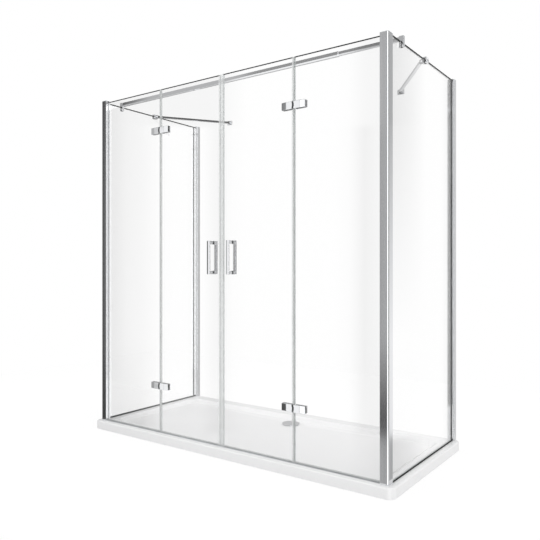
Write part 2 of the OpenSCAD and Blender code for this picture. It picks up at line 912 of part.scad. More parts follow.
// Hinge pads and handle washers of one door
module door_pads_right() {
    color(rubber) {
        at_hinges() other_side() leaf_pads();
        at_handle_studs() difference() {
            union() {
                rod_y(front_face - washer_t, front_face, washer_r);
                rod_y(back_face, back_face + washer_t, washer_r);
            }
            rod_y(front_face - washer_t - cut, back_face + washer_t + cut, screw_r + screw_play);
        }
    }
}

// Hinge screws and handle studs of one door
module door_fixings_right() {
    color(steel) {
        at_hinges() other_side() clamp_screws_of_leaf();
        at_handle_studs()
            rod_y(front_face - washer_t - stud_bite, back_face + washer_t + stud_bite, screw_r);
    }
}

// A flat bar on two legs, drawn behind a glass whose middle is at y = 0
module handle() {
    seat = glass_half + washer_t;
    tip = glass_half + handle_reach;
    x0 = handle_in - handle_w / 2;
    z0 = handle_z - handle_h / 2;
    color(chrome) difference() {
        block(x0, x0 + handle_w, seat, tip, z0, z0 + handle_h);
        block(
            x0 - cut, x0 + handle_w + cut, seat - cut, tip - handle_t,
            z0 + handle_leg, z0 + handle_h - handle_leg
        );
        at_handle_studs() rod_y(seat - cut, seat + stud_bite + cut, screw_r + screw_play);
    }
}

module handle_inner_right() {
    translate([0, front_y, 0]) handle();
}

module handle_outer_right() {
    translate([0, front_y, 0]) mirror([0, 1, 0]) handle();
}

// Top bar across the sides

module tube_x(x0, x1, h, d, wall) {
    difference() {
        block(x0, x1, bar_y - d / 2, bar_y + d / 2, bar_mid_z - h / 2, bar_mid_z + h / 2);
        block(
            x0 - cut, x1 + cut,
            bar_y - d / 2 + wall, bar_y + d / 2 - wall,
            bar_mid_z - h / 2 + wall, bar_mid_z + h / 2 - wall
        );
    }
}

module bar_outer_tube() {
    color(chrome) tube_x(-tube_x1, bar_seam_x, bar_h, bar_d, bar_wall);
}

module bar_inner_tube() {
    color(chrome) tube_x(bar_seam_x - bar_overlap, tube_x1, inner_h, inner_d, bar_wall);
}

// Two jaws over the top edge of the side glass
module glass_jaws(y, length, drop, top) {
    difference() {
        block(side_x - jaw_x, side_x + jaw_x, y - length / 2, y + length / 2, glass_top - drop, top);
        block(
            side_x - jaw_slot, side_x + jaw_slot,
            y - length, y + length,
            glass_top - drop - cut, glass_top + jaw_pad_t
        );
    }
}

// Jaws with a spigot for a tube whose inside is h high and d deep
module bar_clamp(h, d) {
    difference() {
        union() {
            glass_jaws(bar_y, bar_d, bar_clamp_drop, bar_z1 + clamp_over);
            block(
                tube_x1 - spigot_l, tube_x1 + cut,
                bar_y - d / 2 + bar_play, bar_y + d / 2 - bar_play,
                bar_mid_z - h / 2 + bar_play, bar_mid_z + h / 2 - bar_play
            );
        }
        translate([0, bar_y, set_screw_z])
            rod_x(side_x - jaw_x - cut, side_x - jaw_slot + cut, set_screw_r + screw_play);
    }
}

module bar_clamp_right() {
    color(chrome) bar_clamp(inner_h - 2 * bar_wall, inner_d - 2 * bar_wall);
}

module bar_clamp_left() {
    color(chrome) other_side() bar_clamp(bar_h - 2 * bar_wall, bar_d - 2 * bar_wall);
}

// Rubber saddle between a pair of jaws and the glass
module jaw_saddle(y, length, drop) {
    difference() {
        block(
            side_x - jaw_slot, side_x + jaw_slot,
            y - length / 2, y + length / 2,
            glass_top - drop, glass_top + jaw_pad_t
        );
        block(
            side_x - glass_half, side_x + glass_half,
            y - length, y + length,
            glass_top - drop - cut, glass_top
        );
    }
}

module clamp_pads() {
    color(rubber) both_sides() {
        jaw_saddle(bar_y, bar_d, bar_clamp_drop);
        jaw_saddle(brace_y, brace_clamp_l, brace_clamp_drop);
    }
}

// Hidden set screws in the bar clamps and round grips on the brace clamps
module clamp_screws() {
    color(steel) both_sides() {
        translate([0, bar_y, set_screw_z]) rod_x(side_x - jaw_x, side_x - jaw_slot, set_screw_r);
        translate([0, brace_y, brace_screw_z]) {
            rod_x(side_x + jaw_slot, side_x + jaw_x + cut, set_screw_r);
            rod_x(side_x + jaw_x, side_x + jaw_x + grip_t, grip_r);
        }
    }
}

// Braces from the side glass to the wall

// Two lugs above and below the arm's eye at a point, drawn back towards their base
module lug_pair(at, towards) {
    for (z = [pin_z0, arm_z1 + lug_play]) upright(z, z + lug_t) {
        translate(at) circle(eye_r);
        translate(at) rotate(towards) rect(0, eye_offset + cut, -eye_r, eye_r);
    }
}

module pin_bore(at) {
    translate([at[0], at[1], pin_z0 - cut])
        cylinder(r = brace_pin_r + brace_pin_play, h = pin_z1 - pin_z0 + 2 * cut);
}

module brace_clamp_right() {
    color(chrome) difference() {
        union() {
            glass_jaws(brace_y, brace_clamp_l, brace_clamp_drop, glass_top + brace_clamp_rise);
            lug_pair(arm_a, 0);
        }
        pin_bore(arm_a);
        translate([0, brace_y, brace_screw_z])
            rod_x(side_x + jaw_slot - cut, side_x + jaw_x + cut, set_screw_r + screw_play);
    }
}

module brace_arm_right() {
    color(chrome) difference() {
        upright(arm_z0, arm_z1) {
            translate(arm_a) circle(eye_r);
            translate(arm_b) circle(eye_r);
            translate(arm_a) rotate(arm_angle) rect(0, arm_l, -eye_r, eye_r);
        }
        pin_bore(arm_a);
        pin_bore(arm_b);
    }
}

module brace_wall_plate_right() {
    color(chrome) difference() {
        union() {
            plate_y(half_d - wall_plate_t, half_d) round_rect(
                wall_plate_x - wall_plate_w / 2, wall_plate_x + wall_plate_w / 2,
                arm_mid_z - wall_plate_h / 2, arm_mid_z + wall_plate_h / 2, plate_corner_r
            );
            lug_pair(arm_b, 90);
        }
        pin_bore(arm_b);
        for (x = [-wall_plate_holes / 2, wall_plate_holes / 2])
            translate([wall_plate_x + x, 0, arm_mid_z])
                rod_y(half_d - wall_plate_t - cut, half_d + cut, wall_hole_r);
    }
}

module brace_pins() {
    color(steel) both_sides() for (at = [arm_a, arm_b])
        translate([at[0], at[1], pin_z0]) cylinder(r = brace_pin_r, h = pin_z1 - pin_z0);
}

// Left-hand pieces are mirror images of the right-hand ones

module wall_channel_left() { other_side() wall_channel_right(); }
module adjusting_profile_left() { other_side() adjusting_profile_right(); }
module side_glass_left() { other_side() side_glass_right(); }
module corner_post_left() { other_side() corner_post_right(); }
module fixed_glass_left() { other_side() fixed_glass_right(); }
module brace_clamp_left() { other_side() brace_clamp_right(); }
module brace_arm_left() { other_side() brace_arm_right(); }
module brace_wall_plate_left() { other_side() brace_wall_plate_right(); }
module door_glass_left() { other_side() door_glass_right(); }
module door_hinge_leaves_left() { other_side() door_hinge_leaves_right(); }
module door_hinge_clamps_left() { other_side() door_hinge_clamps_right(); }
module door_pads_left() { other_side() door_pads_right(); }
module door_fixings_left() { other_side() door_fixings_right(); }
module door_side_seal_left() { other_side() door_side_seal_right(); }
module door_magnet_seal_left() { other_side() door_magnet_seal_right(); }
module door_sweep_left() { other_side() door_sweep_right(); }
module handle_outer_left() { other_side() handle_outer_right(); }
module handle_inner_left() { other_side() handle_inner_right(); }

tray_cap();
tray_core();
drain_flange();
drain_gasket();
drain_body();
drain_cover();
hair_strainer();
wall_channel_left();
wall_channel_right();
adjusting_profile_left();
adjusting_profile_right();
side_glass_left();
side_glass_right();
corner_post_left();
corner_post_right();
profile_end_caps();
glazing_gaskets();
fixed_glass_left();
fixed_glass_right();
threshold_strip();
bottom_seals();
hinge_fixed_leaves();
hinge_fixed_clamps();
hinge_fixed_pads();
hinge_fixed_screws();
hinge_pins();
bar_outer_tube();
bar_inner_tube();
bar_clamp_left();
bar_clamp_right();
clamp_pads();
clamp_screws();
brace_clamp_left();
brace_clamp_right();
brace_arm_left();
brace_arm_right();
brace_wall_plate_left();
brace_wall_plate_right();
brace_pins();
door_glass_left();
door_glass_right();
door_hinge_leaves_left();
door_hinge_leaves_right();
door_hinge_clamps_left();
door_hinge_clamps_right();
door_pads_left();
door_pads_right();
door_fixings_left();
door_fixings_right();
door_side_seal_left();
door_side_seal_right();
door_magnet_seal_left();
door_magnet_seal_right();
door_sweep_left();
door_sweep_right();
handle_outer_left();
handle_outer_right();
handle_inner_left();
handle_inner_right();
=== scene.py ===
# %% [markdown]
# # A shower enclosure with two hinged doors
#
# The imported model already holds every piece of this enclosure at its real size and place. This lesson
# gives those pieces their looks: rounded metal edges, ground glass edges, moulded seals, a smooth
# acrylic tray, and the studio round them. The model is loaded first, and nothing in it is moved.

import json

import bpy
import numpy as np
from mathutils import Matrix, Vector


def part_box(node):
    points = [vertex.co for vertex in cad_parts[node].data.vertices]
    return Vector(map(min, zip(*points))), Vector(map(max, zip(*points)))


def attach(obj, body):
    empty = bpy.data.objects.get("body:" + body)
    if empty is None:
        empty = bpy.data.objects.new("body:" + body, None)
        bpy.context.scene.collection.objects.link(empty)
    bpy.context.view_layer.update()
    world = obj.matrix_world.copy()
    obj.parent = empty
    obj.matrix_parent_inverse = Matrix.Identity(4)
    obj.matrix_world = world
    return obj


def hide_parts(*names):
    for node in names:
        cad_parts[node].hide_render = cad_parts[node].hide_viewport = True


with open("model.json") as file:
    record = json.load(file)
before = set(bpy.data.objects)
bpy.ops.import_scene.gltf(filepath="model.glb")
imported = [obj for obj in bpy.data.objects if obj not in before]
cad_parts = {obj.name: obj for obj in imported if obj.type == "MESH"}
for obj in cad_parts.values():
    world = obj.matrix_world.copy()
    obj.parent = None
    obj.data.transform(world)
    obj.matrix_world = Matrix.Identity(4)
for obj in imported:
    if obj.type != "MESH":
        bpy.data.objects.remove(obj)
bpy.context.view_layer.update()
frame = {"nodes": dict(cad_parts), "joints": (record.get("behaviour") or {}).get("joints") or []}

# %% [markdown]
# ## Sizes
#
# What a box can't say, such as a wall or a radius inside a piece, is a named value in millimetres.
# Blender works in metres, so each is multiplied by `MM` where it is written.

# %% Sizes
MM = 0.001
SIDES = (("right", 1), ("left", -1))


def span(node):
    """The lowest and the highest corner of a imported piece, as a table of two rows and three columns."""
    return np.array([list(corner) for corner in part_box(node)])


glass_y0, glass_y1 = span("door_glass_right")[:, 1]
front_y = (glass_y0 + glass_y1) / 2
side_x = span("side_glass_right")[:, 0].mean()
rim_z = span("tray_cap")[1, 2]
hinge_x = abs(frame["joints"][0]["pos_m"][0])
pivot_y = frame["joints"][0]["pos_m"][1]
print("front glass plane", round(front_y, 4), "side glass plane", round(side_x, 4), "hinge line", hinge_x)

# %% [markdown]
# ## Shapes as rings of points
#
# Profiles, glass panes, tubes and turned parts have one thing in common: an outline that is carried
# along a line or round an axis. Each is kept here as rings of points in one numpy array, so a whole
# surface is worked out in a few array operations. Modelling by hand or with modifiers would give the
# same shapes, but not from sizes that can be read and changed.

# %% Skin over rings
def loft(rings, closed=False):
    """A skin over rings of points. Corner j of ring i joins corner j + 1 of ring i and both corners of
    ring i + 1. Open ends get a flat cap; with closed, the last ring joins the first, as in a tube with
    a wall. The volume, a sixth of the sum of corner products, is negative where faces point inwards,
    and then every face is turned round."""
    rings = np.asarray(rings, float)
    levels, count = rings.shape[:2]
    points = rings.reshape(-1, 3)
    i, j = np.meshgrid(np.arange(levels if closed else levels - 1), np.arange(count), indexing="ij")
    here, ahead, above = i * count, (j + 1) % count, (i + 1) % levels * count
    quads = np.stack([here + j, here + ahead, above + ahead, above + j], -1).reshape(-1, 4)
    caps = [] if closed else [np.arange(count)[::-1], np.arange(count) + (levels - 1) * count]
    volume = corner_products(points[quads[:, :3]]) + corner_products(points[quads[:, [0, 2, 3]]])
    for cap in caps:
        middle = np.broadcast_to(points[cap].mean(0), (count, 3))
        volume += corner_products(np.stack([middle, points[cap], points[np.roll(cap, -1)]], 1))
    if volume < 0:
        quads, caps = quads[:, ::-1], [cap[::-1] for cap in caps]
    return points, quads, caps


def corner_products(triangles):
    """The sum over triangles of the first corner times the cross product of the other two."""
    return np.einsum("ij,ij->", triangles[:, 0], np.cross(triangles[:, 1], triangles[:, 2]))


def flipped(shell, side):
    """The shell itself for side 1, and its mirror image across the middle for side -1, faces turned."""
    points, quads, caps = shell
    if side > 0:
        return shell
    return points * (-1, 1, 1), quads[:, ::-1], [cap[::-1] for cap in caps]


def both(shells):
    """The shells of the right side and their mirror images, for a piece that spans both sides."""
    return [flipped(shell, side) for shell in shells for _, side in SIDES]


# %% [markdown]
# ## Outlines
#
# Real extrusions and castings have no knife edges. So an outline is written as its few sharp corners,
# and one function rounds them all. A second function draws an outline in, which rounds the ends of a
# piece as well.

# %% Rounded outlines
def fillet(corners, radius, steps=4):
    """An outline with round corners. An arc starts before its corner by the radius times the tangent of
    half the turn, and its points are the first one turned about the arc's centre, step by step."""
    corners = np.asarray(corners, float)
    arriving = corners - np.roll(corners, 1, 0)
    arriving /= np.linalg.norm(arriving, axis=1, keepdims=True)
    leaving = np.roll(arriving, -1, 0)
    left = np.stack([-arriving[:, 1], arriving[:, 0]], -1)
    turn = np.arctan2((left * leaving).sum(1), (arriving * leaving).sum(1))
    radius = np.broadcast_to(radius, turn.shape)
    start = corners - arriving * (radius * np.tan(abs(turn) / 2))[:, None]
    arm = -left * (radius * np.sign(turn))[:, None]
    angle = turn[:, None] * np.linspace(0, 1, steps + 1)
    cosine, sine = np.cos(angle), np.sin(angle)
    swung = np.stack([arm[:, :1] * cosine - arm[:, 1:] * sine, arm[:, :1] * sine + arm[:, 1:] * cosine], -1)
    return ((start - arm)[:, None, :] + swung).reshape(-1, 2)


def rectangle(u0, u1, v0, v1):
    """The four corners of a rectangle, anticlockwise."""
    return np.array([(u0, v0), (u1, v0), (u1, v1), (u0, v1)])


def mitre(outline):
    """For each point, the move that draws both of its edges in by one: the sum of the edges' inward
    unit normals over one plus their product."""
    edge = np.roll(outline, -1, 0) - outline
    edge /= np.linalg.norm(edge, axis=1, keepdims=True)
    after = np.stack([-edge[:, 1], edge[:, 0]], -1)
    before = np.roll(after, 1, 0)
    return (before + after) / (1 + (before * after).sum(1, keepdims=True))


def place(points, axis):
    """Points given as two outline coordinates and a level, put in order for an axis. For z the outline
    lies in x and y, for x in y and z, and for y in x and z."""
    order = {"z": [0, 1, 2], "x": [2, 0, 1], "y": [0, 2, 1]}[axis]
    return points[..., order]


def stacked(flat, levels, axis):
    """Flat outlines, one for each level, as rings of points across an axis."""
    height = np.broadcast_to(np.asarray(levels, float)[:, None, None], flat.shape[:2] + (1,))
    return place(np.concatenate([flat, height], -1), axis)


def prism_rings(outline, low, high, axis="z", ease=0.4 * MM, steps=3, between=()):
    """The rings of an outline carried from low to high. Its end edges are a quarter round: the ring at
    a turn t is drawn in by ease times one minus sin t, at a depth of ease times one minus cos t."""
    turn = np.linspace(0, np.pi / 2, steps + 1)
    drawn, depth = ease * (1 - np.sin(turn)), ease * (1 - np.cos(turn))
    inset = np.concatenate([drawn, np.zeros(len(between)), drawn[::-1]])
    level = np.concatenate([low + depth, between, high - depth[::-1]])
    return stacked(outline + mitre(outline) * inset[:, None, None], level, axis)


def prism(*values, **settings):
    """A closed skin over the rings of a carried outline."""
    return loft(prism_rings(*values, **settings))


def tube(outline, wall, low, high, axis):
    """A straight tube: the outline at both ends, then the same outline drawn in by the wall, closed."""
    inner = outline + mitre(outline) * wall
    return loft(stacked(np.stack([outline, outline, inner, inner]), [low, high, high, low], axis), closed=True)


def lathe(radii, levels, centre, axis="z", count=48, shape=1.0):
    """A profile turned about an axis: the ring at a level is its radius times the cosine and the sine.
    The shape is a factor for each angle of each ring, as for a hexagonal socket."""
    angle = np.linspace(0, 2 * np.pi, count, endpoint=False)
    radius = np.asarray(radii, float)[:, None] * np.broadcast_to(shape, (len(radii), count))
    flat = np.stack([radius * np.cos(angle) + centre[0], radius * np.sin(angle) + centre[1]], -1)
    return loft(stacked(flat, levels, axis))


# %% [markdown]
# ## From shells to pieces
#
# A piece is one object: its shells are joined into one mesh, doubled points are merged, and faces are
# shaded smooth except across sharp edges. A Weighted Normal modifier keeps large faces looking flat
# beside their small round edges. Then the piece is tied to the body that it moves with, and the
# imported pieces that it stands for are hidden. Most pieces come in pairs, and are drawn for the right side only.


def add_object(name, data):
    """A new object at the origin of the scene."""
    made = bpy.data.objects.new(name, data)
    bpy.context.scene.collection.objects.link(made)
    return made


def build_mesh(name, shells):
    """One mesh from several shells: their points one after another, and their faces counted on."""
    points = np.concatenate([shell[0] for shell in shells])
    starts = np.cumsum([0] + [len(shell[0]) for shell in shells])
    faces = []
    for start, (_, quads, caps) in zip(starts, shells):
        faces += (quads + start).tolist() + [(cap + start).tolist() for cap in caps]
    mesh = bpy.data.meshes.new(name)
    mesh.from_pydata(points.tolist(), [], faces)
    return mesh


def drilled(mesh, cutters):
    """The mesh with the cutters' shells taken out of it by a Boolean modifier, applied at once."""
    work, tool = add_object("work", mesh), add_object("tool", build_mesh("tool", cutters))
    cut = work.modifiers.new("holes", "BOOLEAN")
    cut.object = tool
    cut.solver = "EXACT"
    result = bpy.data.meshes.new_from_object(work.evaluated_get(bpy.context.evaluated_depsgraph_get()))
    bpy.data.objects.remove(work)
    bpy.data.objects.remove(tool)
    return result


def piece(name, shells, materials, replaces, body="frame", holes=(), sharp_degrees=35):
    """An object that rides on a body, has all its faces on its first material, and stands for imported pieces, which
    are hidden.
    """
    mesh = build_mesh(name, shells)
    if holes:
        mesh = drilled(mesh, holes)
        mesh.name = name
    mesh.materials.clear()
    for material in materials:
        mesh.materials.append(material)
    mesh.shade_smooth()
    mesh.set_sharp_from_angle(angle=np.radians(sharp_degrees))
    made = add_object(name, mesh)
    weld = made.modifiers.new("weld", "WELD")
    weld.merge_threshold = 0.001 * MM
    normals = made.modifiers.new("normals", "WEIGHTED_NORMAL")
    normals.keep_sharp = True
    assign(made, np.zeros(len(mesh.polygons)))
    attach(made, body)
    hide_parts(*replaces)
    print(name, len(mesh.polygons), "faces")
    return made


def sided(word, side, name, shells, materials, node, body="frame", holes=()):
    """The piece of one side: its shells are given for the right, and each {} in a name stands for the side."""
    return piece(name.format(word), [flipped(shell, side) for shell in shells], materials, [node.format(word)],
                 body.format(word), [flipped(hole, side) for hole in holes])


def pair(*values, **settings):
    """The piece of the right side and its mirror image on the left."""
    return [sided(word, side, *values, **settings) for word, side in SIDES]


def face_table(made, what):
    """The centre or the normal of each face of a piece, as a row of three."""
    values = np.zeros(len(made.data.polygons) * 3)
    made.data.polygons.foreach_get(what, values)
    return values.reshape(-1, 3)


def assign(made, numbers):
    """Gives each face of a piece the material of its number."""
    made.data.polygons.foreach_set("material_index", numbers.astype(int))


# %% [markdown]
# ## Building materials
#
# Colours are written as the hex values that a paint program shows, and one function turns them to
# the linear values that shaders work with. Another adds a node with its settings, values and links,
# so each material below reads as a list of its nodes. Patterns use Object coordinates in metres: a
# noise whose features are s wide has a scale of one over s.

# %% Node helpers
def linear(hex_colour):
    """Each sRGB channel c becomes c / 12.92 up to 0.04045, and ((c + 0.055) / 1.055) ** 2.4 above."""
    channel = np.array([int(hex_colour[i:i + 2], 16) for i in (1, 3, 5)]) / 255
    value = np.where(channel <= 0.04045, channel / 12.92, ((channel + 0.055) / 1.055) ** 2.4)
    return (*value.tolist(), 1.0)


def add_node(tree, kind, inputs=None, stops=(), **settings):
    """A node of a kind with its settings and its ramp stops. Each of its inputs gets a value, or a link
    from a socket, or from a node, which stands for its first output in use."""
    made = tree.nodes.new("ShaderNode" + kind)
    for key, value in settings.items():
        setattr(made, key, value)
    for key, value in (inputs or {}).items():
        if isinstance(value, bpy.types.Node):
            value = next(socket for socket in value.outputs if socket.enabled)
        if isinstance(value, bpy.types.NodeSocket):
            tree.links.new(value, made.inputs[key])
        else:
            made.inputs[key].default_value = value
    for number, (position, colour) in enumerate(stops):
        elements = made.color_ramp.elements
        stop = elements[number] if number < 2 else elements.new(position)
        stop.position = position
        stop.color = colour
    return made


def new_material(name, slot, build, *values, **settings):
    """A node material; the slot that it is given is not used. Its surface is the shader that build adds,
    given the node tree, the Object coordinates and the values."""
    material = bpy.data.materials.new(name)
    material.use_nodes = True
    tree = material.node_tree
    tree.nodes.clear()
    where = add_node(tree, "TexCoord").outputs["Object"]
    add_node(tree, "OutputMaterial", {"Surface": build(tree, where, *values, **settings)})
    return material


# %% [markdown]
# ## Chrome plate
#
# The hinges, handles, clamps, braces and the bar are die-cast or drawn metal, polished and chromium
# plated. Chrome is a mirror with a faint unevenness left from buffing, so the roughness stays low
# and wanders a little over a few centimetres, and a very weak bump bends the reflections. A metal's
# colour is its reflection's colour, and it keeps the default IOR.

# %% Chrome
def polished_chrome(tree, where, colour, smooth=0.03, dull=0.07):
    """Chromium plate: buffing clouds 30 mm wide in the roughness, and 8 mm ripples as weak bump."""
    clouds = add_node(tree, "TexNoise", {"Vector": where, "Scale": 1 / (30 * MM), "Detail": 3.0})
    polish = add_node(tree, "MapRange", {
        "Value": clouds, "From Min": 0.3, "From Max": 0.7, "To Min": smooth, "To Max": dull})
    ripple = add_node(tree, "TexNoise", {"Vector": where, "Scale": 1 / (8 * MM), "Detail": 1.0})
    bump = add_node(tree, "Bump", {"Height": ripple, "Strength": 0.15, "Distance": 0.02 * MM})
    return add_node(tree, "BsdfPrincipled", {
        "Base Color": linear(colour), "Metallic": 1.0, "Roughness": polish, "Normal": bump})


chrome = new_material("polished_chrome", "chrome", polished_chrome, "#f0f1f3")
# For the inner handles: rougher chrome, and darker as painted shade.
satin_chrome_painted_shade = new_material("satin_chrome_painted_shade", "chrome", polished_chrome, "#b6b7b9", 0.12, 0.2)
# A dark chrome colour for the hinge knuckles and the brace lugs.
pivot_chrome = new_material("dark_chrome", "chrome", polished_chrome, "#4a4b4d", 0.15, 0.25)

# %% [markdown]
# ## Bright anodised aluminium
#
# Posts, wall profiles and the threshold are extruded aluminium, polished and anodised. The die
# leaves lines along the extrusion. They are drawn 1.2 mm apart, which is coarser than real ones, so
# that they still show. A noise that is stretched along one axis by a Mapping node makes them.

# %% Aluminium
def bright_aluminium(tree, where, colour, along):
    """Anodised extrusion: noise 1.2 mm wide across and 600 mm long along the given axis."""
    fine, long = 1 / (1.2 * MM), 1 / (600 * MM)
    scale = tuple(long if axis == along else fine for axis in "xyz")
    stretched = add_node(tree, "Mapping", {"Vector": where, "Scale": scale})
    lines = add_node(tree, "TexNoise", {"Vector": stretched, "Scale": 1.0, "Detail": 2.0})
    gloss, tone = [add_node(tree, "MapRange", {
        "Value": lines, "From Min": 0.25, "From Max": 0.75, "To Min": least, "To Max": most})
        for least, most in ((0.06, 0.13), (0.96, 1.0))]
    shade = add_node(tree, "Mix", {0: 1.0, 6: linear(colour), 7: tone}, data_type="RGBA", blend_type="MULTIPLY")
    bump = add_node(tree, "Bump", {"Height": lines, "Strength": 0.1, "Distance": 0.02 * MM})
    return add_node(tree, "BsdfPrincipled", {
        "Base Color": shade, "Metallic": 1.0, "Roughness": gloss, "Normal": bump})


upright_aluminium = new_material("bright_aluminium_upright", "polished_aluminium", bright_aluminium, "#eeeff1", "z")
level_aluminium = new_material("bright_aluminium_level", "polished_aluminium", bright_aluminium, "#d9dbdd", "x")

# %% [markdown]
# ## Stainless steel
#
# The screws, pins and the hair strainer are plain stainless steel with a machined finish: a little
# rougher and darker than chrome, with fine grain of about half a millimetre.

# %% Steel
def machined_steel(tree, where, colour):
    """Stainless steel: half-millimetre grain in the roughness and in a weak bump."""
    grain = add_node(tree, "TexNoise", {"Vector": where, "Scale": 1 / (0.5 * MM), "Detail": 4.0})
    rough = add_node(tree, "MapRange", {"Value": grain, "To Min": 0.18, "To Max": 0.38})
    bump = add_node(tree, "Bump", {"Height": grain, "Strength": 0.2, "Distance": 0.02 * MM})
    return add_node(tree, "BsdfPrincipled", {
        "Base Color": linear(colour), "Metallic": 1.0, "Roughness": rough, "Normal": bump})


steel = new_material("machined_stainless", "stainless", machined_steel, "#c4c6c8")

# %% [markdown]
# ## Acrylic, resin, rubber and plastic
#
# The tray's skin is a vacuum-formed sheet of sanitary acrylic: bright white, glossy, and very
# slightly wavy, like orange peel. Under it lies a core of cast stone resin, which shows its filler as
# small specks. These and the smaller mouldings are ordinary Principled plastics whose detail comes
# from noise at a real size. The gaskets of the front panes are pale, and those at the sides black.

# %% Plastics
def moulded(tree, where, colour, speck, roughness, grain_mm, grain_depth_mm, front=None):
    """A moulded material: a bump whose grain has a real width and depth, and specks of a second colour.
    A front colour, if given, is that of the parts with y below zero."""
    grain = add_node(tree, "TexNoise", {"Vector": where, "Scale": 1 / (grain_mm * MM), "Detail": 2.0})
    tint = add_node(tree, "MapRange", {"Value": grain, "From Min": 0.35, "From Max": 0.65})
    blend = add_node(tree, "Mix", {0: tint, 6: linear(colour), 7: linear(speck)}, data_type="RGBA")
    if front:
        depth = add_node(tree, "SeparateXYZ", {"Vector": where}).outputs["Y"]
        ahead = add_node(tree, "Math", {0: depth, 1: 0.0}, operation="LESS_THAN")
        blend = add_node(tree, "Mix", {0: ahead, 6: blend, 7: linear(front)}, data_type="RGBA")
    bump = add_node(tree, "Bump", {"Height": grain, "Strength": 0.3, "Distance": grain_depth_mm * MM})
    return add_node(tree, "BsdfPrincipled", {"Base Color": blend, "Roughness": roughness, "Normal": bump})


acrylic = new_material("sanitary_acrylic", "acrylic", moulded, "#f6f6f6", "#f3f3f4", 0.16, 5.0, 0.02)
resin = new_material("cast_stone_resin", "stone_resin", moulded, "#c9c8c4", "#b4b2ad", 0.7, 1.5, 0.1)
BLACK_RUBBER = ("#1b1c1d", "#232425", 0.55, 0.6, 0.05)
rubber = new_material("black_epdm_rubber", "rubber", moulded, *BLACK_RUBBER)
gasket_rubber = new_material("glazing_gasket_epdm", "rubber", moulded, *BLACK_RUBBER, front="#e4e6e8")
black_plastic = new_material("black_moulded_abs", "black_plastic", moulded, "#26272a", "#2c2d30", 0.45, 0.8, 0.04)
grey_plastic = new_material("pale_grey_moulded_abs", "grey_plastic", moulded, "#dfe1e3", "#d8dadc", 0.4, 0.8, 0.03)

# %% [markdown]
# ## Glass
#
# A pane of clear toughened glass is almost invisible from the front: light passes, and a Fresnel
# share of it is reflected. For a thin, flat pane it is simpler and cleaner to mix a transparent
# shader with a glossy one than to trace refraction, and the pane then throws no black shadow. The
# ground edges are different: light that enters the sheet sideways is swallowed by the green of the
# glass, so the long level edges look dark. That dark is painted shade: the top edges, and a strip of
# the large faces below them, get a near-black colour. Upright edges stand in clear seals or metal,
# which light them up, and look paler. Each kind gets its own material on its own faces.

# %% Glass materials
GLASS_INDEX = 1.72


def clear_glass(tree, where):
    """Toughened glass: transparent, with a reflection by Fresnel, and faint rinsing marks in its gloss."""
    marks = add_node(tree, "TexNoise", {"Vector": where, "Scale": 1 / (60 * MM), "Detail": 2.0})
    gloss = add_node(tree, "MapRange", {"Value": marks, "To Min": 0.0, "To Max": 0.04})
    inside = add_node(tree, "NewGeometry").outputs["Backfacing"]
    index = add_node(tree, "MapRange", {"Value": inside, "To Min": GLASS_INDEX, "To Max": 1 / GLASS_INDEX})
    share = add_node(tree, "Fresnel", {"IOR": index})
    through = add_node(tree, "BsdfTransparent", {"Color": linear("#ffffff")})
    surface = add_node(tree, "BsdfPrincipled", {
        "Base Color": linear("#ffffff"), "Metallic": 1.0, "Roughness": gloss})
    return add_node(tree, "MixShader", {0: share, 1: through, 2: surface})


def ground_edge(tree, where, colour, gloss):
    """A ground and seamed glass edge of a given colour, with grinding marks 1 mm apart: pale green-grey, or a deep
    green-grey that is near-black painted shade.
    """
    marks = add_node(tree, "TexNoise", {"Vector": where, "Scale": 1 / (1.0 * MM), "Detail": 2.0})
    rough = add_node(tree, "MapRange", {"Value": marks, "To Min": 0.25, "To Max": 0.45})
    return add_node(tree, "BsdfPrincipled", {
        "Base Color": linear(colour), "Roughness": rough, "Specular IOR Level": gloss})


glass = new_material("clear_toughened_glass", "glass", clear_glass)
upright_edge = new_material("ground_glass_edge_upright", "glass", ground_edge, "#9ea5a3", 0.25)
# The near-black colour of the top edges is painted shade.
painted_shade_edge = new_material("ground_glass_edge_painted_shade", "glass", ground_edge, "#161c1b", 0.03)

# %% [markdown]
# ## Clear PVC
#
# The seals on the doors are soft clear PVC. They let most of the light through but blur it, and
# their edges gather a little grey. A Principled plastic mixed with a transparent shader does this,
# and the share of each wanders slightly along the strip, as an extruded profile's haze does.

# %% Clear PVC
def clear_pvc(tree, where):
    """Extruded clear PVC: mostly see-through, hazier where it is seen along its skin, in bands 40 mm long."""
    haze = add_node(tree, "TexNoise", {"Vector": where, "Scale": 1 / (40 * MM), "Detail": 1.0})
    edge_on = add_node(tree, "LayerWeight", {"Blend": 0.5}).outputs["Facing"]
    along = add_node(tree, "MapRange", {"Value": edge_on, "From Min": 0.4, "To Min": 0.3, "To Max": 0.6})
    share = add_node(tree, "MapRange", {"Value": haze, "To Min": along, "To Max": 0.4})
    through = add_node(tree, "BsdfTransparent", {"Color": linear("#fafbfb")})
    soft = add_node(tree, "BsdfPrincipled", {"Base Color": linear("#ffffff"), "Roughness": 0.3})
    return add_node(tree, "MixShader", {0: share, 1: through, 2: soft})


pvc = new_material("clear_pvc_seal", "clear_seal", clear_pvc)

# %% [markdown]
# ## The tray
#
# The tray's skin is one sheet of acrylic, drawn down over a mould: a plain outer wall, a rounded
# rim, a basin with soft edges, and a floor that falls to the drain. Seen from above it is a stack of
# rounded rectangles that shrink towards the middle, so the surface has two parameters: one goes
# round the tray, the other goes in along a profile of inset and height. The last stretch blends the
# rectangles into the drain's circle. The sheet gets its thickness by moving a copy of the whole grid
# back along its normals, which keeps it a closed shell with a real wall.

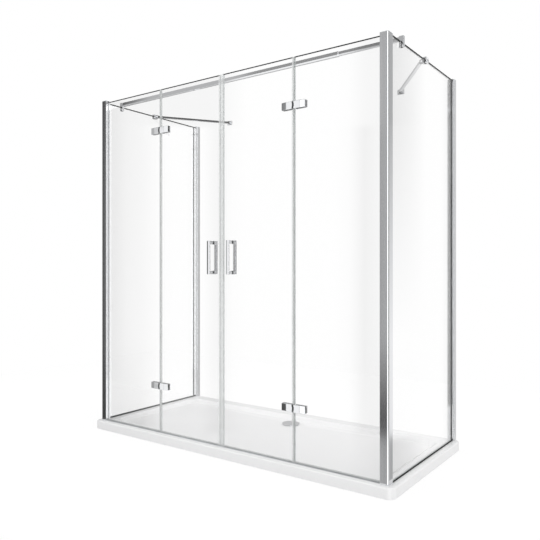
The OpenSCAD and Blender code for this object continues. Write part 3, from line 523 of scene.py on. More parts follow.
# %% Tray profile and plan
tray = span("tray_cap")
drain_y = span("drain_gasket")[:, 1].mean()
SHEET = 4 * MM
CORNER_R, BASIN_CORNER_R, FLOOR_CORNER_R = 35 * MM, 70 * MM, 36 * MM
RIM_W, SLOPE_W, EDGE_DEPTH = 82 * MM, 34 * MM, 21 * MM
FLANGE_STEP, DRAIN_HOLE_R, SEAT_R = 2.4 * MM, 42 * MM, 64 * MM
TOP_EDGE_R, RIM_EDGE_R, FOOT_R = 8 * MM, 6 * MM, 12 * MM
HELPER = 20 * MM
FLOOR_RINGS, FLOOR_FALL = 14, 1.15
floor_z = span("drain_flange")[1, 2] - FLANGE_STEP
slope_end = RIM_W + SLOPE_W


def tray_profile():
    """The line from the floor of the room up the outer wall, over the rim and down to the basin's
    floor, as inset and height, with its corners rounded. The two helper corners at the ends are cut."""
    foot = rim_z - EDGE_DEPTH
    corners = [(0, -HELPER), (0, rim_z), (RIM_W, rim_z), (slope_end, foot), (slope_end + HELPER, foot),
               (slope_end, -HELPER)]
    line = fillet(corners, [MM, TOP_EDGE_R, RIM_EDGE_R, FOOT_R, MM, MM], steps=8)
    keep = (line[:, 1] > rim_z - TOP_EDGE_R - 0.1 * MM) | ((line[:, 0] > 0) & (line[:, 1] >= foot - 0.01 * MM))
    wall = [(0, tray[0, 2]), (0, rim_z / 3), (0, rim_z * 2 / 3)]
    return np.concatenate([wall, line[keep & (line[:, 0] < slope_end + FOOT_R)]])


def tray_plan(inset, corner_r, corner_steps=12, edge_steps=24):
    """A rounded rectangle for each inset. All have equally many points: each quarter starts with its
    corner's arc and goes on along its edge in equal steps to where the next arc starts."""
    half = tray[1, :2] - inset[:, None]
    angle = np.arange(4)[:, None] * np.pi / 2 + np.linspace(0, np.pi / 2, corner_steps + 1)
    sign = np.stack([np.array([1, -1, -1, 1]), np.array([1, 1, -1, -1])], -1)
    middle = sign * (half - corner_r[:, None])[:, None, :]
    arc = middle[:, :, None, :] + corner_r[:, None, None, None] * np.stack([np.cos(angle), np.sin(angle)], -1)
    share = np.linspace(0, 1, edge_steps + 1)[1:-1, None]
    goal = np.roll(arc[:, :, 0], -1, 1)[:, :, None, :]
    edge = arc[:, :, -1:] * (1 - share) + goal * share
    return np.concatenate([arc, edge], 2).reshape(len(inset), -1, 2)


line = tray_profile()
print("tray profile points:", len(line))

# %% [markdown]
# The corner radius has to change on the way in: it shrinks with the inset over the top edge, grows
# across the rim to the basin's radius, and shrinks again down the slope. `np.interp` reads it off
# two short tables.

# %% Tray skin
def tray_skin():
    """The grid of the tray's upper side: the profile's rings, then rings that blend the floor's edge
    into the circle round the drain. At a share s of the way, what is left of the fall is one minus s
    to the power of FLOOR_FALL."""
    marks = [0, TOP_EDGE_R, RIM_W, slope_end, slope_end + FOOT_R]
    radii = [CORNER_R, CORNER_R - TOP_EDGE_R, BASIN_CORNER_R, FLOOR_CORNER_R, FLOOR_CORNER_R - FOOT_R]
    sides = stacked(tray_plan(line[:, 0], np.interp(line[:, 0], marks, radii)), line[:, 1], "z")
    last = sides[-1]
    towards = last[:, :2] - (0, drain_y)
    unit = towards / np.linalg.norm(towards, axis=1, keepdims=True)
    share = np.linspace(0, 1, FLOOR_RINGS + 1)[1:, None, None]
    ease = 1 - (1 - share) ** FLOOR_FALL
    flat = last[:, :2] * (1 - share) + (unit * SEAT_R + (0, drain_y)) * share
    fall = last[:, 2:] * (1 - ease) + floor_z * ease
    hole = np.concatenate([unit * DRAIN_HOLE_R + (0, drain_y), np.full((len(unit), 1), floor_z)], -1)
    return np.concatenate([sides, np.concatenate([flat, fall], -1), hole[None]])


def grid_normals(grid):
    """Unit normals of a grid that wraps round: the cross product of its two directions' differences."""
    normal = np.cross(np.roll(grid, -1, 1) - np.roll(grid, 1, 1), np.gradient(grid, axis=0))
    return normal / np.linalg.norm(normal, axis=2, keepdims=True)


skin = tray_skin()
normal = grid_normals(skin)
normal[0] = normal[1]
back = skin - normal * SHEET
back[0, :, 2] = tray[0, 2]
piece("tray_skin", [loft(np.concatenate([skin, back[::-1]]), closed=True)], [acrylic], ["tray_cap"],
      sharp_degrees=50)

# %% [markdown]
# ## The drain cover
#
# The cover is a shallow chromed dome with a rounded edge and a short stem below. It is a turned
# shape, so a profile is carried round the drain's axis.

# %% Drain cover
cover = span("drain_cover")
COVER_H, COVER_EDGE_R, STEM_R, STEM_EASE = 3.2 * MM, 1.4 * MM, 4 * MM, 0.5 * MM
CROWN_START, CROWN_MIDDLE = 2 * MM, 0.5 * MM


def cover_profile():
    """From the stem's foot out along the underside, round the edge by a half circle, and in over the
    crown, whose height falls with the square of the radius."""
    radius, top = cover[1, 0], cover[1, 2]
    under = top - COVER_H
    turn = np.linspace(-np.pi / 2, np.pi / 2, 9)
    edge_mid = under + COVER_EDGE_R
    rim = [(radius - COVER_EDGE_R + COVER_EDGE_R * np.cos(turn)), edge_mid + COVER_EDGE_R * np.sin(turn)]
    reach = np.linspace(radius - COVER_EDGE_R - CROWN_START, CROWN_MIDDLE, 12)
    crown = [reach, top - (top - edge_mid - COVER_EDGE_R) * (reach / radius) ** 2]
    stem = [[STEM_R - STEM_EASE, STEM_R, STEM_R], [cover[0, 2], cover[0, 2] + STEM_EASE, under]]
    return np.concatenate([stem, rim, crown], 1)


piece("drain_cover_dome", [lathe(*cover_profile(), (0, drain_y), count=72)], [chrome], ["drain_cover"],
      "drain_cover_set")

# %% [markdown]
# ## Corner posts and their caps
#
# Each front corner is a hollow aluminium post with two pockets, one for the front pane and one for
# the side pane. Its outer corner has a generous radius, which shows as a bright line. The outline is
# drawn once and carried up; plastic caps of the same outline close both ends.

# %% Corner posts
post = span("corner_post_right")
channel = span("wall_channel_right")
caps = span("profile_end_caps")
SLOT_HALF, POCKET, STEP_BACK, LIP_T = 4 * MM, 16 * MM, 15 * MM, 8 * MM
POST_CORNER_R, EDGE_R, SMALL_R = 8 * MM, 0.8 * MM, 0.3 * MM
CAP_T, FOOT_T, CAP_EASE, END_EASE = 2.5 * MM, 4 * MM, 0.7 * MM, 0.2 * MM
(x0, y0), (x1, y1) = post[:, :2]
slot_x0, slot_x1 = side_x - SLOT_HALF, side_x + SLOT_HALF
lip_x, step_y = slot_x0 - LIP_T, y1 - STEP_BACK

# Anticlockwise from the inner front corner: round outer corner, side pocket with its lip, the step back
# to the cabin side, then the front pocket.
post_corners = [
    (x0, y0), (x1, y0), (x1, y1), (slot_x1, y1), (slot_x1, y1 - POCKET), (slot_x0, y1 - POCKET), (slot_x0, y1),
    (lip_x, y1), (lip_x, step_y), (x0, step_y), (x0, front_y + SLOT_HALF), (x0 + POCKET, front_y + SLOT_HALF),
    (x0 + POCKET, front_y - SLOT_HALF), (x0, front_y - SLOT_HALF)]
post_radii = np.full(len(post_corners), SMALL_R)
post_radii[[0, 2, 9]] = EDGE_R
post_radii[1] = POST_CORNER_R
post_outline = fillet(post_corners, post_radii, steps=8)
pair("corner_post_{}_extrusion", [prism(post_outline, *post[:, 2], ease=END_EASE)], [upright_aluminium],
     "corner_post_{}")

cap_corners = [(x0, y0), (x1, y0), (x1, y1), (lip_x, y1), (lip_x, step_y), (x0, step_y)]
cap_outline = fillet(cap_corners, [EDGE_R, POST_CORNER_R, EDGE_R, EDGE_R, EDGE_R, EDGE_R], steps=8)
channel_cap = fillet(rectangle(*channel[:, 0], *channel[:, 1]), EDGE_R)
piece("end_caps", both([
    prism(cap_outline, caps[0, 2], caps[0, 2] + FOOT_T, ease=0.3 * MM),
    prism(cap_outline, caps[1, 2] - CAP_T, caps[1, 2], ease=CAP_EASE),
    prism(channel_cap, channel[1, 2], channel[1, 2] + CAP_T, ease=CAP_EASE)]), [grey_plastic], ["profile_end_caps"])

# %% [markdown]
# ## Wall profiles
#
# At the wall each side pane sits in an adjusting profile, which slides in a channel that is screwed
# to the wall. The channel is a plain C with screw holes; the adjusting profile is a C with a pocket
# for the glass. Both are outlines of sharp corners, rounded by the same function.

# %% Wall profiles
adjust = span("adjusting_profile_right")
WALL, SCREW_HOLE_R, CUT_DEPTH = 2 * MM, 2.6 * MM, 4 * MM
HOLE_ENDS = (120 * MM, 720 * MM)

(x0, y0), (x1, y1) = channel[:, :2]
low, high = channel[:, 2]
channel_outline = fillet([
    (x0, y0), (x0 + WALL, y0), (x0 + WALL, y1 - WALL), (x1 - WALL, y1 - WALL), (x1 - WALL, y0), (x1, y0), (x1, y1),
    (x0, y1)], 0.4 * MM)
bores = [lathe([SCREW_HOLE_R] * 2, [y1 - CUT_DEPTH, y1 + MM], ((x0 + x1) / 2, level), "y", 24)
         for level in (low + HOLE_ENDS[0], low + HOLE_ENDS[1], high - HOLE_ENDS[1], high - HOLE_ENDS[0])]

(x0, y0), (x1, y1) = adjust[:, :2]
deep = y0 + POCKET
adjusting_outline = fillet([
    (x0, y0), (slot_x0, y0), (slot_x0, deep), (slot_x1, deep), (slot_x1, y0), (x1, y0), (x1, y1), (x1 - WALL, y1),
    (x1 - WALL, y0 + WALL), (slot_x1 + WALL, y0 + WALL), (slot_x1 + WALL, deep + WALL),
    (slot_x0 - WALL, deep + WALL), (slot_x0 - WALL, y0 + WALL), (x0 + WALL, y0 + WALL), (x0 + WALL, y1), (x0, y1)],
    SMALL_R)
adjusting = prism(adjusting_outline, *adjust[:, 2], ease=END_EASE)
for word, side in SIDES:
    sided(word, side, "wall_channel_{}_extrusion", [prism(channel_outline, low, high)], [upright_aluminium],
          "wall_channel_{}", holes=bores)
    sided(word, side, "adjusting_profile_{}_extrusion", [adjusting], [upright_aluminium], "adjusting_profile_{}")

# %% [markdown]
# ## Glass panes
#
# Every pane is a 6 mm sheet with seamed edges: a narrow flat is ground along each edge so that it
# doesn't chip. Rounding with a single step makes that flat. The panes behind the hinges and handles
# have round holes for the clamp screws and studs.

# %% Glass panes
# The last two sizes: how far below a pane's top its large faces also get the near-black painted shade, for front and
# side panes.
SEAM, SIDE_SEAM, SHADE_BAND, SIDE_SHADE_BAND = 1.5 * MM, 2.4 * MM, 2.6 * MM, 4.4 * MM
PANE_CORNER_R, GLASS_HOLE_R = 3 * MM, 5.5 * MM
SCREWS_X = (24 * MM, 54 * MM)
HINGE_H, HANDLE_LEG = 37 * MM, 19 * MM
pins = span("hinge_pins")
hinge_levels = [pins[0, 2] + HINGE_H / 2, pins[1, 2] - HINGE_H / 2]
handle = span("handle_outer_right")
handle_x = handle[:, 0].mean()
stud_levels = [handle[0, 2] + HANDLE_LEG / 2, handle[1, 2] - HANDLE_LEG / 2]


def pane(name, node, axis, body="frame", seam=SEAM, shade_band=SHADE_BAND, holes=()):
    """A sheet of glass: its outline is in the two directions across the axis, and the seamed flats are
    a one-step rounding, with a strip beside the top one where the sheet shows its edge from inside.
    Large faces that look along the axis are clear, and all others are ground; those near the top, with that strip, get
    the near-black painted shade."""
    box = span(node)
    normal_to = "xyz".index(axis)
    u, v = [k for k in range(3) if k != normal_to]
    outline = fillet(rectangle(*box[:, u], *box[:, v]), PANE_CORNER_R)
    rings = prism_rings(outline, *box[:, normal_to], axis, seam, 1)
    shrunk = outline + mitre(outline) * seam
    lowered = np.minimum(shrunk[:, 1], shrunk[:, 1].max() - shade_band)
    drawn_in = place(np.stack([shrunk[:, 0], lowered, lowered * 0], -1), axis)
    ends = [np.where(np.arange(3) == normal_to, ring, drawn_in)[None] for ring in (rings[0], rings[-1])]
    made = piece(name, [loft(np.concatenate([ends[0], rings, ends[1]]))], [glass, upright_edge, painted_shade_edge], [node],
                 body, holes, sharp_degrees=20)
    # Faces near the top, the top edge and the strip below it, get the near-black painted shade.
    top = face_table(made, "center")[:, 2] > box[1, 2] - seam - shade_band
    clear = (abs(face_table(made, "normal")[:, normal_to]) > 0.9) & ~top
    assign(made, np.where(clear, 0, 1 + top))


def glass_holes(along, levels):
    """Round cutters through the front glass."""
    return [lathe([GLASS_HOLE_R] * 2, [glass_y0 - MM, glass_y1 + MM], (x, z), "y", 32) for x in along for z in levels]


for word, side in SIDES:
    fixed_holes, door_holes = [glass_holes([side * (hinge_x + way * x) for x in SCREWS_X], hinge_levels)
                               for way in (1, -1)]
    door_holes += glass_holes([side * handle_x], stud_levels)
    pane("side_pane_" + word, "side_glass_" + word, "x", seam=SIDE_SEAM, shade_band=SIDE_SHADE_BAND)
    pane("fixed_pane_" + word, "fixed_glass_" + word, "y", holes=fixed_holes)
    pane("door_pane_" + word, "door_glass_" + word, "y", word + "_door", holes=door_holes)

# %% [markdown]
# ## Seals
#
# Clear PVC profiles close the gaps: one with a magnet strip in its nose on each door's free edge, and
# one with a thin fin on the hinge side. They clip over the glass, so each outline is a U with
# something on its back.

# %% Door seals
magnet = span("door_magnet_seal_right")
side_seal = span("door_side_seal_right")
door_x0, door_x1 = span("door_glass_right")[:, 0]
fixed_x0 = span("fixed_glass_right")[0, 0]
inner, outer = (glass_y1 - glass_y0) / 2, 4.2 * MM
FIN_T, SEAL_BREAK, SIDE_PLAY, SEAL_EASE = 0.8 * MM, 1 * MM, 0.4 * MM, 0.1 * MM

# A U on the glass whose back is a thick rounded nose.
x0, x1 = magnet[:, 0]
nose = [(x0, -outer), (x1, -outer), (x1, -inner), (door_x0, -inner), (door_x0, inner), (x1, inner), (x1, outer),
        (x0, outer)]
nose_outline = fillet(nose, np.array([1.6, 0.5, 0.5, 0.2, 0.2, 0.5, 0.5, 1.6]) * MM) + (0, front_y)
magnet_strip = prism(nose_outline, *magnet[:, 2], ease=SEAL_EASE)

# A U on the glass, with a fin that lies behind the fixed pane.
x0, x1 = side_seal[:, 0]
back = fixed_x0 - SIDE_PLAY
finned = [(x0, -outer), (back, -outer), (back, outer - FIN_T), (x1, outer - FIN_T), (x1, outer), (x0, outer),
          (x0, inner), (door_x1, inner), (door_x1, -inner), (x0, -inner)]
fin_outline = fillet(finned, np.array([0.5, 1.0, 0.2, 0.3, 0.3, 0.5, 0.5, 0.2, 0.2, 0.5]) * MM) + (0, front_y)
gap = HINGE_H / 2 + SEAL_BREAK
stops = [side_seal[0, 2], *[z + way * gap for z in hinge_levels for way in (-1, 1)], side_seal[1, 2]]
finned_strips = [prism(fin_outline, *run, ease=SEAL_EASE) for run in zip(stops[::2], stops[1::2])]
for word, side in SIDES:
    sided(word, side, "magnet_seal_{}", [magnet_strip], [pvc], "door_magnet_seal_{}", "{}_door")
    sided(word, side, "hinge_seal_{}", finned_strips, [pvc], "door_side_seal_{}", "{}_door")

# %% [markdown]
# ## Threshold and bottom seals
#
# A low aluminium strip with a sloping front keeps water in under the doors. The fixed panes stand in
# clear seals on it, and the side panes stand on flat strips of black rubber.

# %% Threshold and bottom seals
strip = span("threshold_strip")
BEVEL, BOTTOM_LEG, FIN_REACH, LIP, PLAY = 1.8 * MM, 4 * MM, 4 * MM, 1.2 * MM, 0.3 * MM
(y0, z0), (y1, z1) = strip[:, 1:]
corners = [(y0, z0), (y1, z0), (y1, z1), (y0 + BEVEL, z1), (y0, z0 + BEVEL)]
piece("threshold_extrusion", [prism(fillet(corners, SMALL_R), *strip[:, 0], "x", END_EASE)], [level_aluminium],
      ["threshold_strip"])

glass_z0 = span("fixed_glass_right")[0, 2]
leg_z = glass_z0 + BOTTOM_LEG
corners = [(-outer, z1), (outer, z1), (outer, leg_z), (inner, leg_z), (inner, glass_z0), (-inner, glass_z0),
           (-inner, leg_z), (-outer, leg_z)]
u_seal = prism(fillet(corners, 0.25 * MM) + (front_y, 0), fixed_x0 + FIN_REACH + SIDE_PLAY,
               post[0, 0] - LIP - PLAY, "x", SEAL_EASE)
piece("fixed_pane_seals", both([u_seal]), [pvc], ["bottom_seals"])
pad = fillet(rectangle(slot_x0, slot_x1, post[1, 1] + PLAY, adjust[0, 1] - PLAY), 0.5 * MM)
base = prism(pad, span("bottom_seals")[0, 2], glass_z0, ease=0.5 * MM)
piece("side_pane_seals", both([base]), [rubber], ["bottom_seals"])

# %% [markdown]
# ## Hinges
#
# A hinge has two chromed leaves outside the glass and two clamp plates inside. Each leaf is drawn in
# plan, from the round knuckle out to its tapered end, and carried up. At some levels the knuckle is
# missing so that the other leaf's knuckle fits there: the same outline is used, with every point
# that lies inside the hinge line's gap pushed out to the plate's edge. Rings at one level but with
# different outlines make the flat shoulders. The knuckles get a dark chrome colour.

# %% Hinge leaves
leaves = span("hinge_fixed_leaves")
LEAF_END_R, LEAF_EASE, TAPER_L, TAPER_T, END_DRAFT = 3 * MM, 0.5 * MM, 31 * MM, 4 * MM, 2.2 * MM
KNUCKLE_H, KNUCKLE_GAP, KNUCKLE_PLAY, HAIR = 9.5 * MM, 2 * MM, 0.5 * MM, 0.01 * MM
leaf_front, leaf_back = leaves[:, 1]
knuckle_r = (leaf_back - leaf_front) / 2
leaf_x0 = knuckle_r + KNUCKLE_GAP
leaf_x1 = leaves[1, 0] - hinge_x


def leaf_outline():
    """In plan, with the hinge line at x = 0: half a circle for the knuckle, then the plate, whose front
    slopes back over its last stretch. The plate's last corner only gives its back a direction, and is cut."""
    steps = 5
    turn = np.linspace(np.pi / 2, 3 * np.pi / 2, 17)
    knuckle = np.stack([knuckle_r * np.cos(turn), pivot_y + knuckle_r * np.sin(turn)], -1)
    plate = fillet([
        (leaf_x1 - TAPER_L, leaf_front), (leaf_x1 - END_DRAFT, leaf_front + TAPER_T), (leaf_x1, leaf_back),
        (leaf_x0 + 4 * MM, leaf_back)], [4 * MM, 0.8 * MM, 0.6 * MM, 0.1 * MM], steps)
    beside = [(knuckle_r + HAIR, leaf_front), (knuckle_r + HAIR, leaf_back)]
    return np.concatenate([knuckle, beside[:1], plate[:-steps - 1], beside[1:]])


def leaf(shoulder, middle):
    """Rings up the leaf. Its ends draw in by a quarter round, its far corners are rounded by limiting
    x to a circle, and outside the knuckle levels x is at least the plate's edge."""
    half = HINGE_H / 2
    ends = half - LEAF_END_R * (1 - np.cos(np.linspace(0, np.pi / 2, 5)))
    steps = np.sort(np.concatenate([-ends, [-shoulder, -shoulder, shoulder, shoulder], ends]))
    outline = leaf_outline()
    near_end = np.clip(LEAF_END_R - (half - abs(steps)), 0, LEAF_END_R)
    limit = leaf_x1 - LEAF_END_R + np.sqrt(LEAF_END_R ** 2 - near_end ** 2)
    inset = np.clip(LEAF_EASE - (half - abs(steps)), 0, LEAF_EASE)
    flat = outline + mitre(outline) * inset[:, None, None]
    flat[:, :, 0] = np.minimum(flat[:, :, 0], limit[:, None])
    number = np.arange(len(steps))
    first, second = np.searchsorted(steps, (-shoulder, shoulder))
    between = (number > first) & (number <= second)
    bare = ~between if middle else between
    flat[bare, :, 0] = np.maximum(flat[bare, :, 0], leaf_x0)
    return loft(stacked(flat, steps, "z"))


def at_hinges(shell, way=1):
    """A shell drawn round x = 0, for way -1 mirrored, at both hinges of the right side."""
    points, quads, caps = flipped(shell, way)
    return [(points + (hinge_x, 0, z), quads, caps) for z in hinge_levels]


def blacken(made, is_joint):
    """Faces get the dark chrome where is_joint says so, given x as its distance from the middle, and y."""
    x, y, _ = face_table(made, "center").T
    assign(made, is_joint(abs(x), y))


def on_knuckle(x, y):
    """True where a point is nearer to a hinge line than the knuckle's radius."""
    return abs(x - hinge_x) < knuckle_r + 0.1 * MM


shoulder = HINGE_H / 2 - KNUCKLE_H
plated = [chrome, pivot_chrome]
blacken(piece("hinge_leaves_fixed", both(at_hinges(leaf(shoulder, middle=False))), plated, ["hinge_fixed_leaves"]),
        on_knuckle)
for made in pair("hinge_leaves_{}", at_hinges(leaf(shoulder - KNUCKLE_PLAY, middle=True), -1), plated,
                 "door_hinge_leaves_{}", "{}_door"):
    blacken(made, on_knuckle)

# %% [markdown]
# ## Clamp plates, screws and pins
#
# The clamp plates lie flat inside the glass, each with two countersunk socket screws. A socket is a
# hexagon: at an angle a its radius is the flat's distance over the cosine of the angle to the nearest
# flat's middle. Ring by ring, the round head turns into the hexagon and goes down into the hole.

# %% Clamp plates and screws
clamp_y0, clamp_y1 = span("hinge_fixed_clamps")[:, 1]
HEAD_R, HEAD_PLAY, HEAD_H, SHANK_R, SCREW_L = 5.5 * MM, 0.2 * MM, 3 * MM, 3 * MM, 6 * MM
SOCKET_FLAT, SOCKET_DEPTH, TIP_EASE, HEAD_EASE, HEAD_EASE_MID = 2.0 * MM, 1.8 * MM, 0.4 * MM, 0.5 * MM, 0.15 * MM
PLATE_EASE = 0.6 * MM
seat = clamp_y1 - HEAD_H
plate = prism(fillet(rectangle(leaf_x0, leaf_x1, -HINGE_H / 2, HINGE_H / 2), LEAF_END_R), clamp_y0, clamp_y1, "y",
              PLATE_EASE)


def head_bore(x):
    """The countersink and the shank's hole of a clamp plate, as one cutter."""
    wide, narrow = HEAD_R + HEAD_PLAY, SHANK_R + HEAD_PLAY
    return lathe([narrow, narrow, wide, wide], [clamp_y0 - MM, seat, seat, clamp_y1 + MM], (x, 0), "y", 40)


def socket_screw(x, count=48):
    """A screw along y: shank from its tip to the seat, a head with a rounded rim, a hexagonal socket."""
    tip, top = leaf_back - SCREW_L, clamp_y1
    angle = np.linspace(0, 2 * np.pi, count, endpoint=False)
    hexagon = SOCKET_FLAT / np.cos((angle + np.pi / 6) % (np.pi / 3) - np.pi / 6)
    radii, levels = np.array([
        (SHANK_R - TIP_EASE, tip), (SHANK_R, tip + TIP_EASE), (SHANK_R, seat), (HEAD_R, seat),
        (HEAD_R, top - HEAD_EASE), (HEAD_R - HEAD_EASE_MID, top - HEAD_EASE_MID), (HEAD_R - HEAD_EASE, top)]).T
    shape = np.concatenate([np.outer(radii, np.ones(count)), [hexagon, hexagon]])
    return lathe(np.ones(len(shape)), [*levels, top, top - SOCKET_DEPTH], (x, 0), "y", count, shape)


def dome_ended(radius, dome, low, high, centre):
    """An upright pin with domed ends: at a turn t its radius is the cosine's share, its rise the sine's."""
    turn = np.linspace(0, np.pi / 2, 5)[:-1]
    ring, rise = radius * np.cos(turn), dome * np.sin(turn)
    return lathe([*ring[::-1], *ring], [*(low - rise[::-1]), *(high + rise)], centre, count=32)


bores, screws = [{way: [shell for x in SCREWS_X for shell in at_hinges(draw(x), way)] for way in (1, -1)}
                 for draw in (head_bore, socket_screw)]
piece("clamp_plates_fixed", both(at_hinges(plate)), [chrome], ["hinge_fixed_clamps"], holes=both(bores[1]))
piece("clamp_screws_fixed", both(screws[1]), [steel], ["hinge_fixed_screws"])
studs = [lathe([SHANK_R] * 2, span("door_fixings_right")[:, 1], (handle_x, z), "y", 32) for z in stud_levels]
for word, side in SIDES:
    sided(word, side, "clamp_plates_{}", at_hinges(plate, -1), [chrome], "door_hinge_clamps_{}", "{}_door", bores[-1])
    sided(word, side, "clamp_screws_{}", screws[-1] + studs, [steel], "door_fixings_{}", "{}_door")

PIN_R, PIN_DOME = 2.2 * MM, 0.5 * MM
pin = dome_ended(PIN_R, PIN_DOME, -HINGE_H / 2, HINGE_H / 2, (0, pivot_y))
piece("hinge_pins_domed", both(at_hinges(pin)), [steel], ["hinge_pins"])

# %% [markdown]
# ## Handles
#
# Each door has a flat bar handle outside and the same one inside, held by two studs through the
# glass. A handle is a squared C in side view, cut from flat bar. Its edges are eased with a round of
# almost a millimetre, and the face of its bar falls away to both sides of a faint ridge.

# %% Handles
BAR_T, HANDLE_EASE = 7.5 * MM, 0.9 * MM
RIDGE_SLOPE, RIDGE_HALF = np.tan(np.radians(4.5)), 0.3 * MM


def handle_outline(y0, y1, z0, z1, outside):
    """The C in y and z: seen from the side, bar away from the glass and legs towards it."""
    bar, seat = (y0, y1) if outside else (y1, y0)
    inner = bar + BAR_T * (1 if outside else -1)
    corners = [(bar, z0), (seat, z0), (seat, z0 + HANDLE_LEG), (inner, z0 + HANDLE_LEG),
               (inner, z1 - HANDLE_LEG), (seat, z1 - HANDLE_LEG), (seat, z1), (bar, z1)]
    return fillet(corners if outside else corners[::-1], np.array([2, 1, 1, 1, 1, 1, 1, 2]) * MM, steps=5)


def ridged(rings, middle, front, inward):
    """Rings along x whose bar face falls away to both sides of a ridge in the middle. A point's fall is
    the ridge's slope times its distance from the middle, less towards the back of the bar."""
    x, y, z = np.moveaxis(rings, -1, 0)
    fall = RIDGE_SLOPE * np.clip(abs(x - middle) - RIDGE_HALF, 0, None)
    share = np.clip(1 - abs(y - front) / BAR_T, 0, 1)
    return np.stack([x, y + inward * fall * share, z], -1)


def bar_handle(where):
    """The shell of the right door's outer or inner handle."""
    (x0, y0, z0), (x1, y1, z1) = span("handle_" + where + "_right")
    outside, middle = where == "outer", (x0 + x1) / 2
    ridge = (middle - RIDGE_HALF, middle + RIDGE_HALF)
    rings = prism_rings(handle_outline(y0, y1, z0, z1, outside), x0, x1, "x", HANDLE_EASE, 4, ridge)
    return loft(ridged(rings, middle, *((y0, 1) if outside else (y1, -1))))


for word, side in SIDES:
    # The inner handles' darker chrome colour is painted shade.
    for where, finish in (("outer", chrome), ("inner", satin_chrome_painted_shade)):
        sided(word, side, "bar_handle_" + where + "_{}", [bar_handle(where)], [finish], "handle_" + where + "_{}",
              "{}_door")

# %% [markdown]
# ## Top bar
#
# A telescopic bar of rectangular tube ties the two sides together above the doors. The wide tube and
# the narrow one that slides in it are real tubes with a wall and rounded edges.

# %% Top bar
BAR_WALL, BAR_EDGE_R, CROWN, CROWN_SHARE = 1.5 * MM, 1.5 * MM, 1.2 * MM, 0.3
for node in ("bar_outer_tube", "bar_inner_tube"):
    box = span(node)
    (y0, z0), (y1, z1) = box[:, 1:]
    ridge = z0 + CROWN_SHARE * (z1 - z0)
    corners = [(y0, z0), (y1, z0), (y1, ridge), (y1 - CROWN, z1), (y0 + CROWN, z1), (y0, ridge)]
    section = fillet(corners, np.array([1, 1, 0.2, 1, 1, 0.2]) * BAR_EDGE_R, steps=5)
    piece(node + "_drawn", [tube(section, BAR_WALL, *box[:, 0], "x")], [chrome], [node])

# %% [markdown]
# ## Clamps on the glass
#
# The bar's clamps and the braces' clamps are small castings that grip the top edge of the side
# glass: an upside-down U in front view, which one function draws for both.

# %% Bar clamps
JAW_SLOT, JAW_DEPTH = 4 * MM, 12 * MM
JAW_RADII = np.array([1, 0.4, 0.4, 0.4, 0.4, 1, 1.5, 1.5]) * MM
pad_top = span("clamp_pads")[1, 2]


def jaws(box, y0, y1, ease):
    """An upside-down U in x and z round the pane's top edge, as far down as its box, carried along y."""
    x0, x1 = side_x - JAW_DEPTH, box[1, 0]
    bottom, top = box[:, 2]
    corners = [(x0, bottom), (side_x - JAW_SLOT, bottom), (side_x - JAW_SLOT, pad_top),
               (side_x + JAW_SLOT, pad_top), (side_x + JAW_SLOT, bottom), (x1, bottom), (x1, top), (x0, top)]
    return prism(fillet(corners, JAW_RADII), y0, y1, "y", ease)


bar_box = span("bar_clamp_right")
pair("bar_end_clamp_{}", [jaws(bar_box, *bar_box[:, 1], ease=0.7 * MM)], [chrome], "bar_clamp_{}")

# %% [markdown]
# ## Braces
#
# A brace goes from its clamp to a plate on the wall. Its arm is a flat bar with round ends, held
# between two lugs at each end by a pin. The lugs get the dark chrome colour.

# %% Braces
arm_box, brace_box, plate_box = [span("brace_" + name + "_right") for name in ("arm", "clamp", "wall_plate")]
BRACE_L, EYE_R, EYE_OFFSET, WALL_OFFSET, LUG_T, LUG_PLAY = 30 * MM, 8 * MM, 15 * MM, 5 * MM, 3 * MM, 0.2 * MM
PLATE_T, PLATE_R, PLATE_HOLES, PLATE_BORE = 5 * MM, 3 * MM, 30 * MM, 9 * MM
arm_a = np.array([arm_box[1, 0] - EYE_R, arm_box[0, 1] + EYE_R])
arm_b = np.array([arm_box[0, 0] + EYE_R, arm_box[1, 1] - EYE_R])
lug_levels = (arm_box[0, 2] - LUG_PLAY - LUG_T, arm_box[1, 2] + LUG_PLAY)
clamp_y, plate_y = brace_box[:, 1].mean(), plate_box[1, 1]
SKIN = 0.2 * MM


def stadium(a, b, radius, count=25):
    """Two half circles of the radius round two points, facing away from each other."""
    turn = np.arctan2(*(b - a)[::-1]) + np.linspace(-np.pi / 2, np.pi / 2, count)
    reach = radius * np.stack([np.cos(turn), np.sin(turn)], -1)
    return np.concatenate([b + reach, a - reach])


def lugs(at, base):
    """Two lugs with one round end at the pin and the other in their base."""
    return [prism(stadium(base, at, EYE_R), z, z + LUG_T, ease=0.4 * MM) for z in lug_levels]


def on_clamp_lug(x, y):
    """True on the lugs of a brace clamp, inside of the jaws that they grow out of."""
    return x < side_x - JAW_DEPTH - SKIN


def on_wall_lug(x, y):
    """True on the lugs in front of a wall plate."""
    return y < plate_y - PLATE_T - SKIN


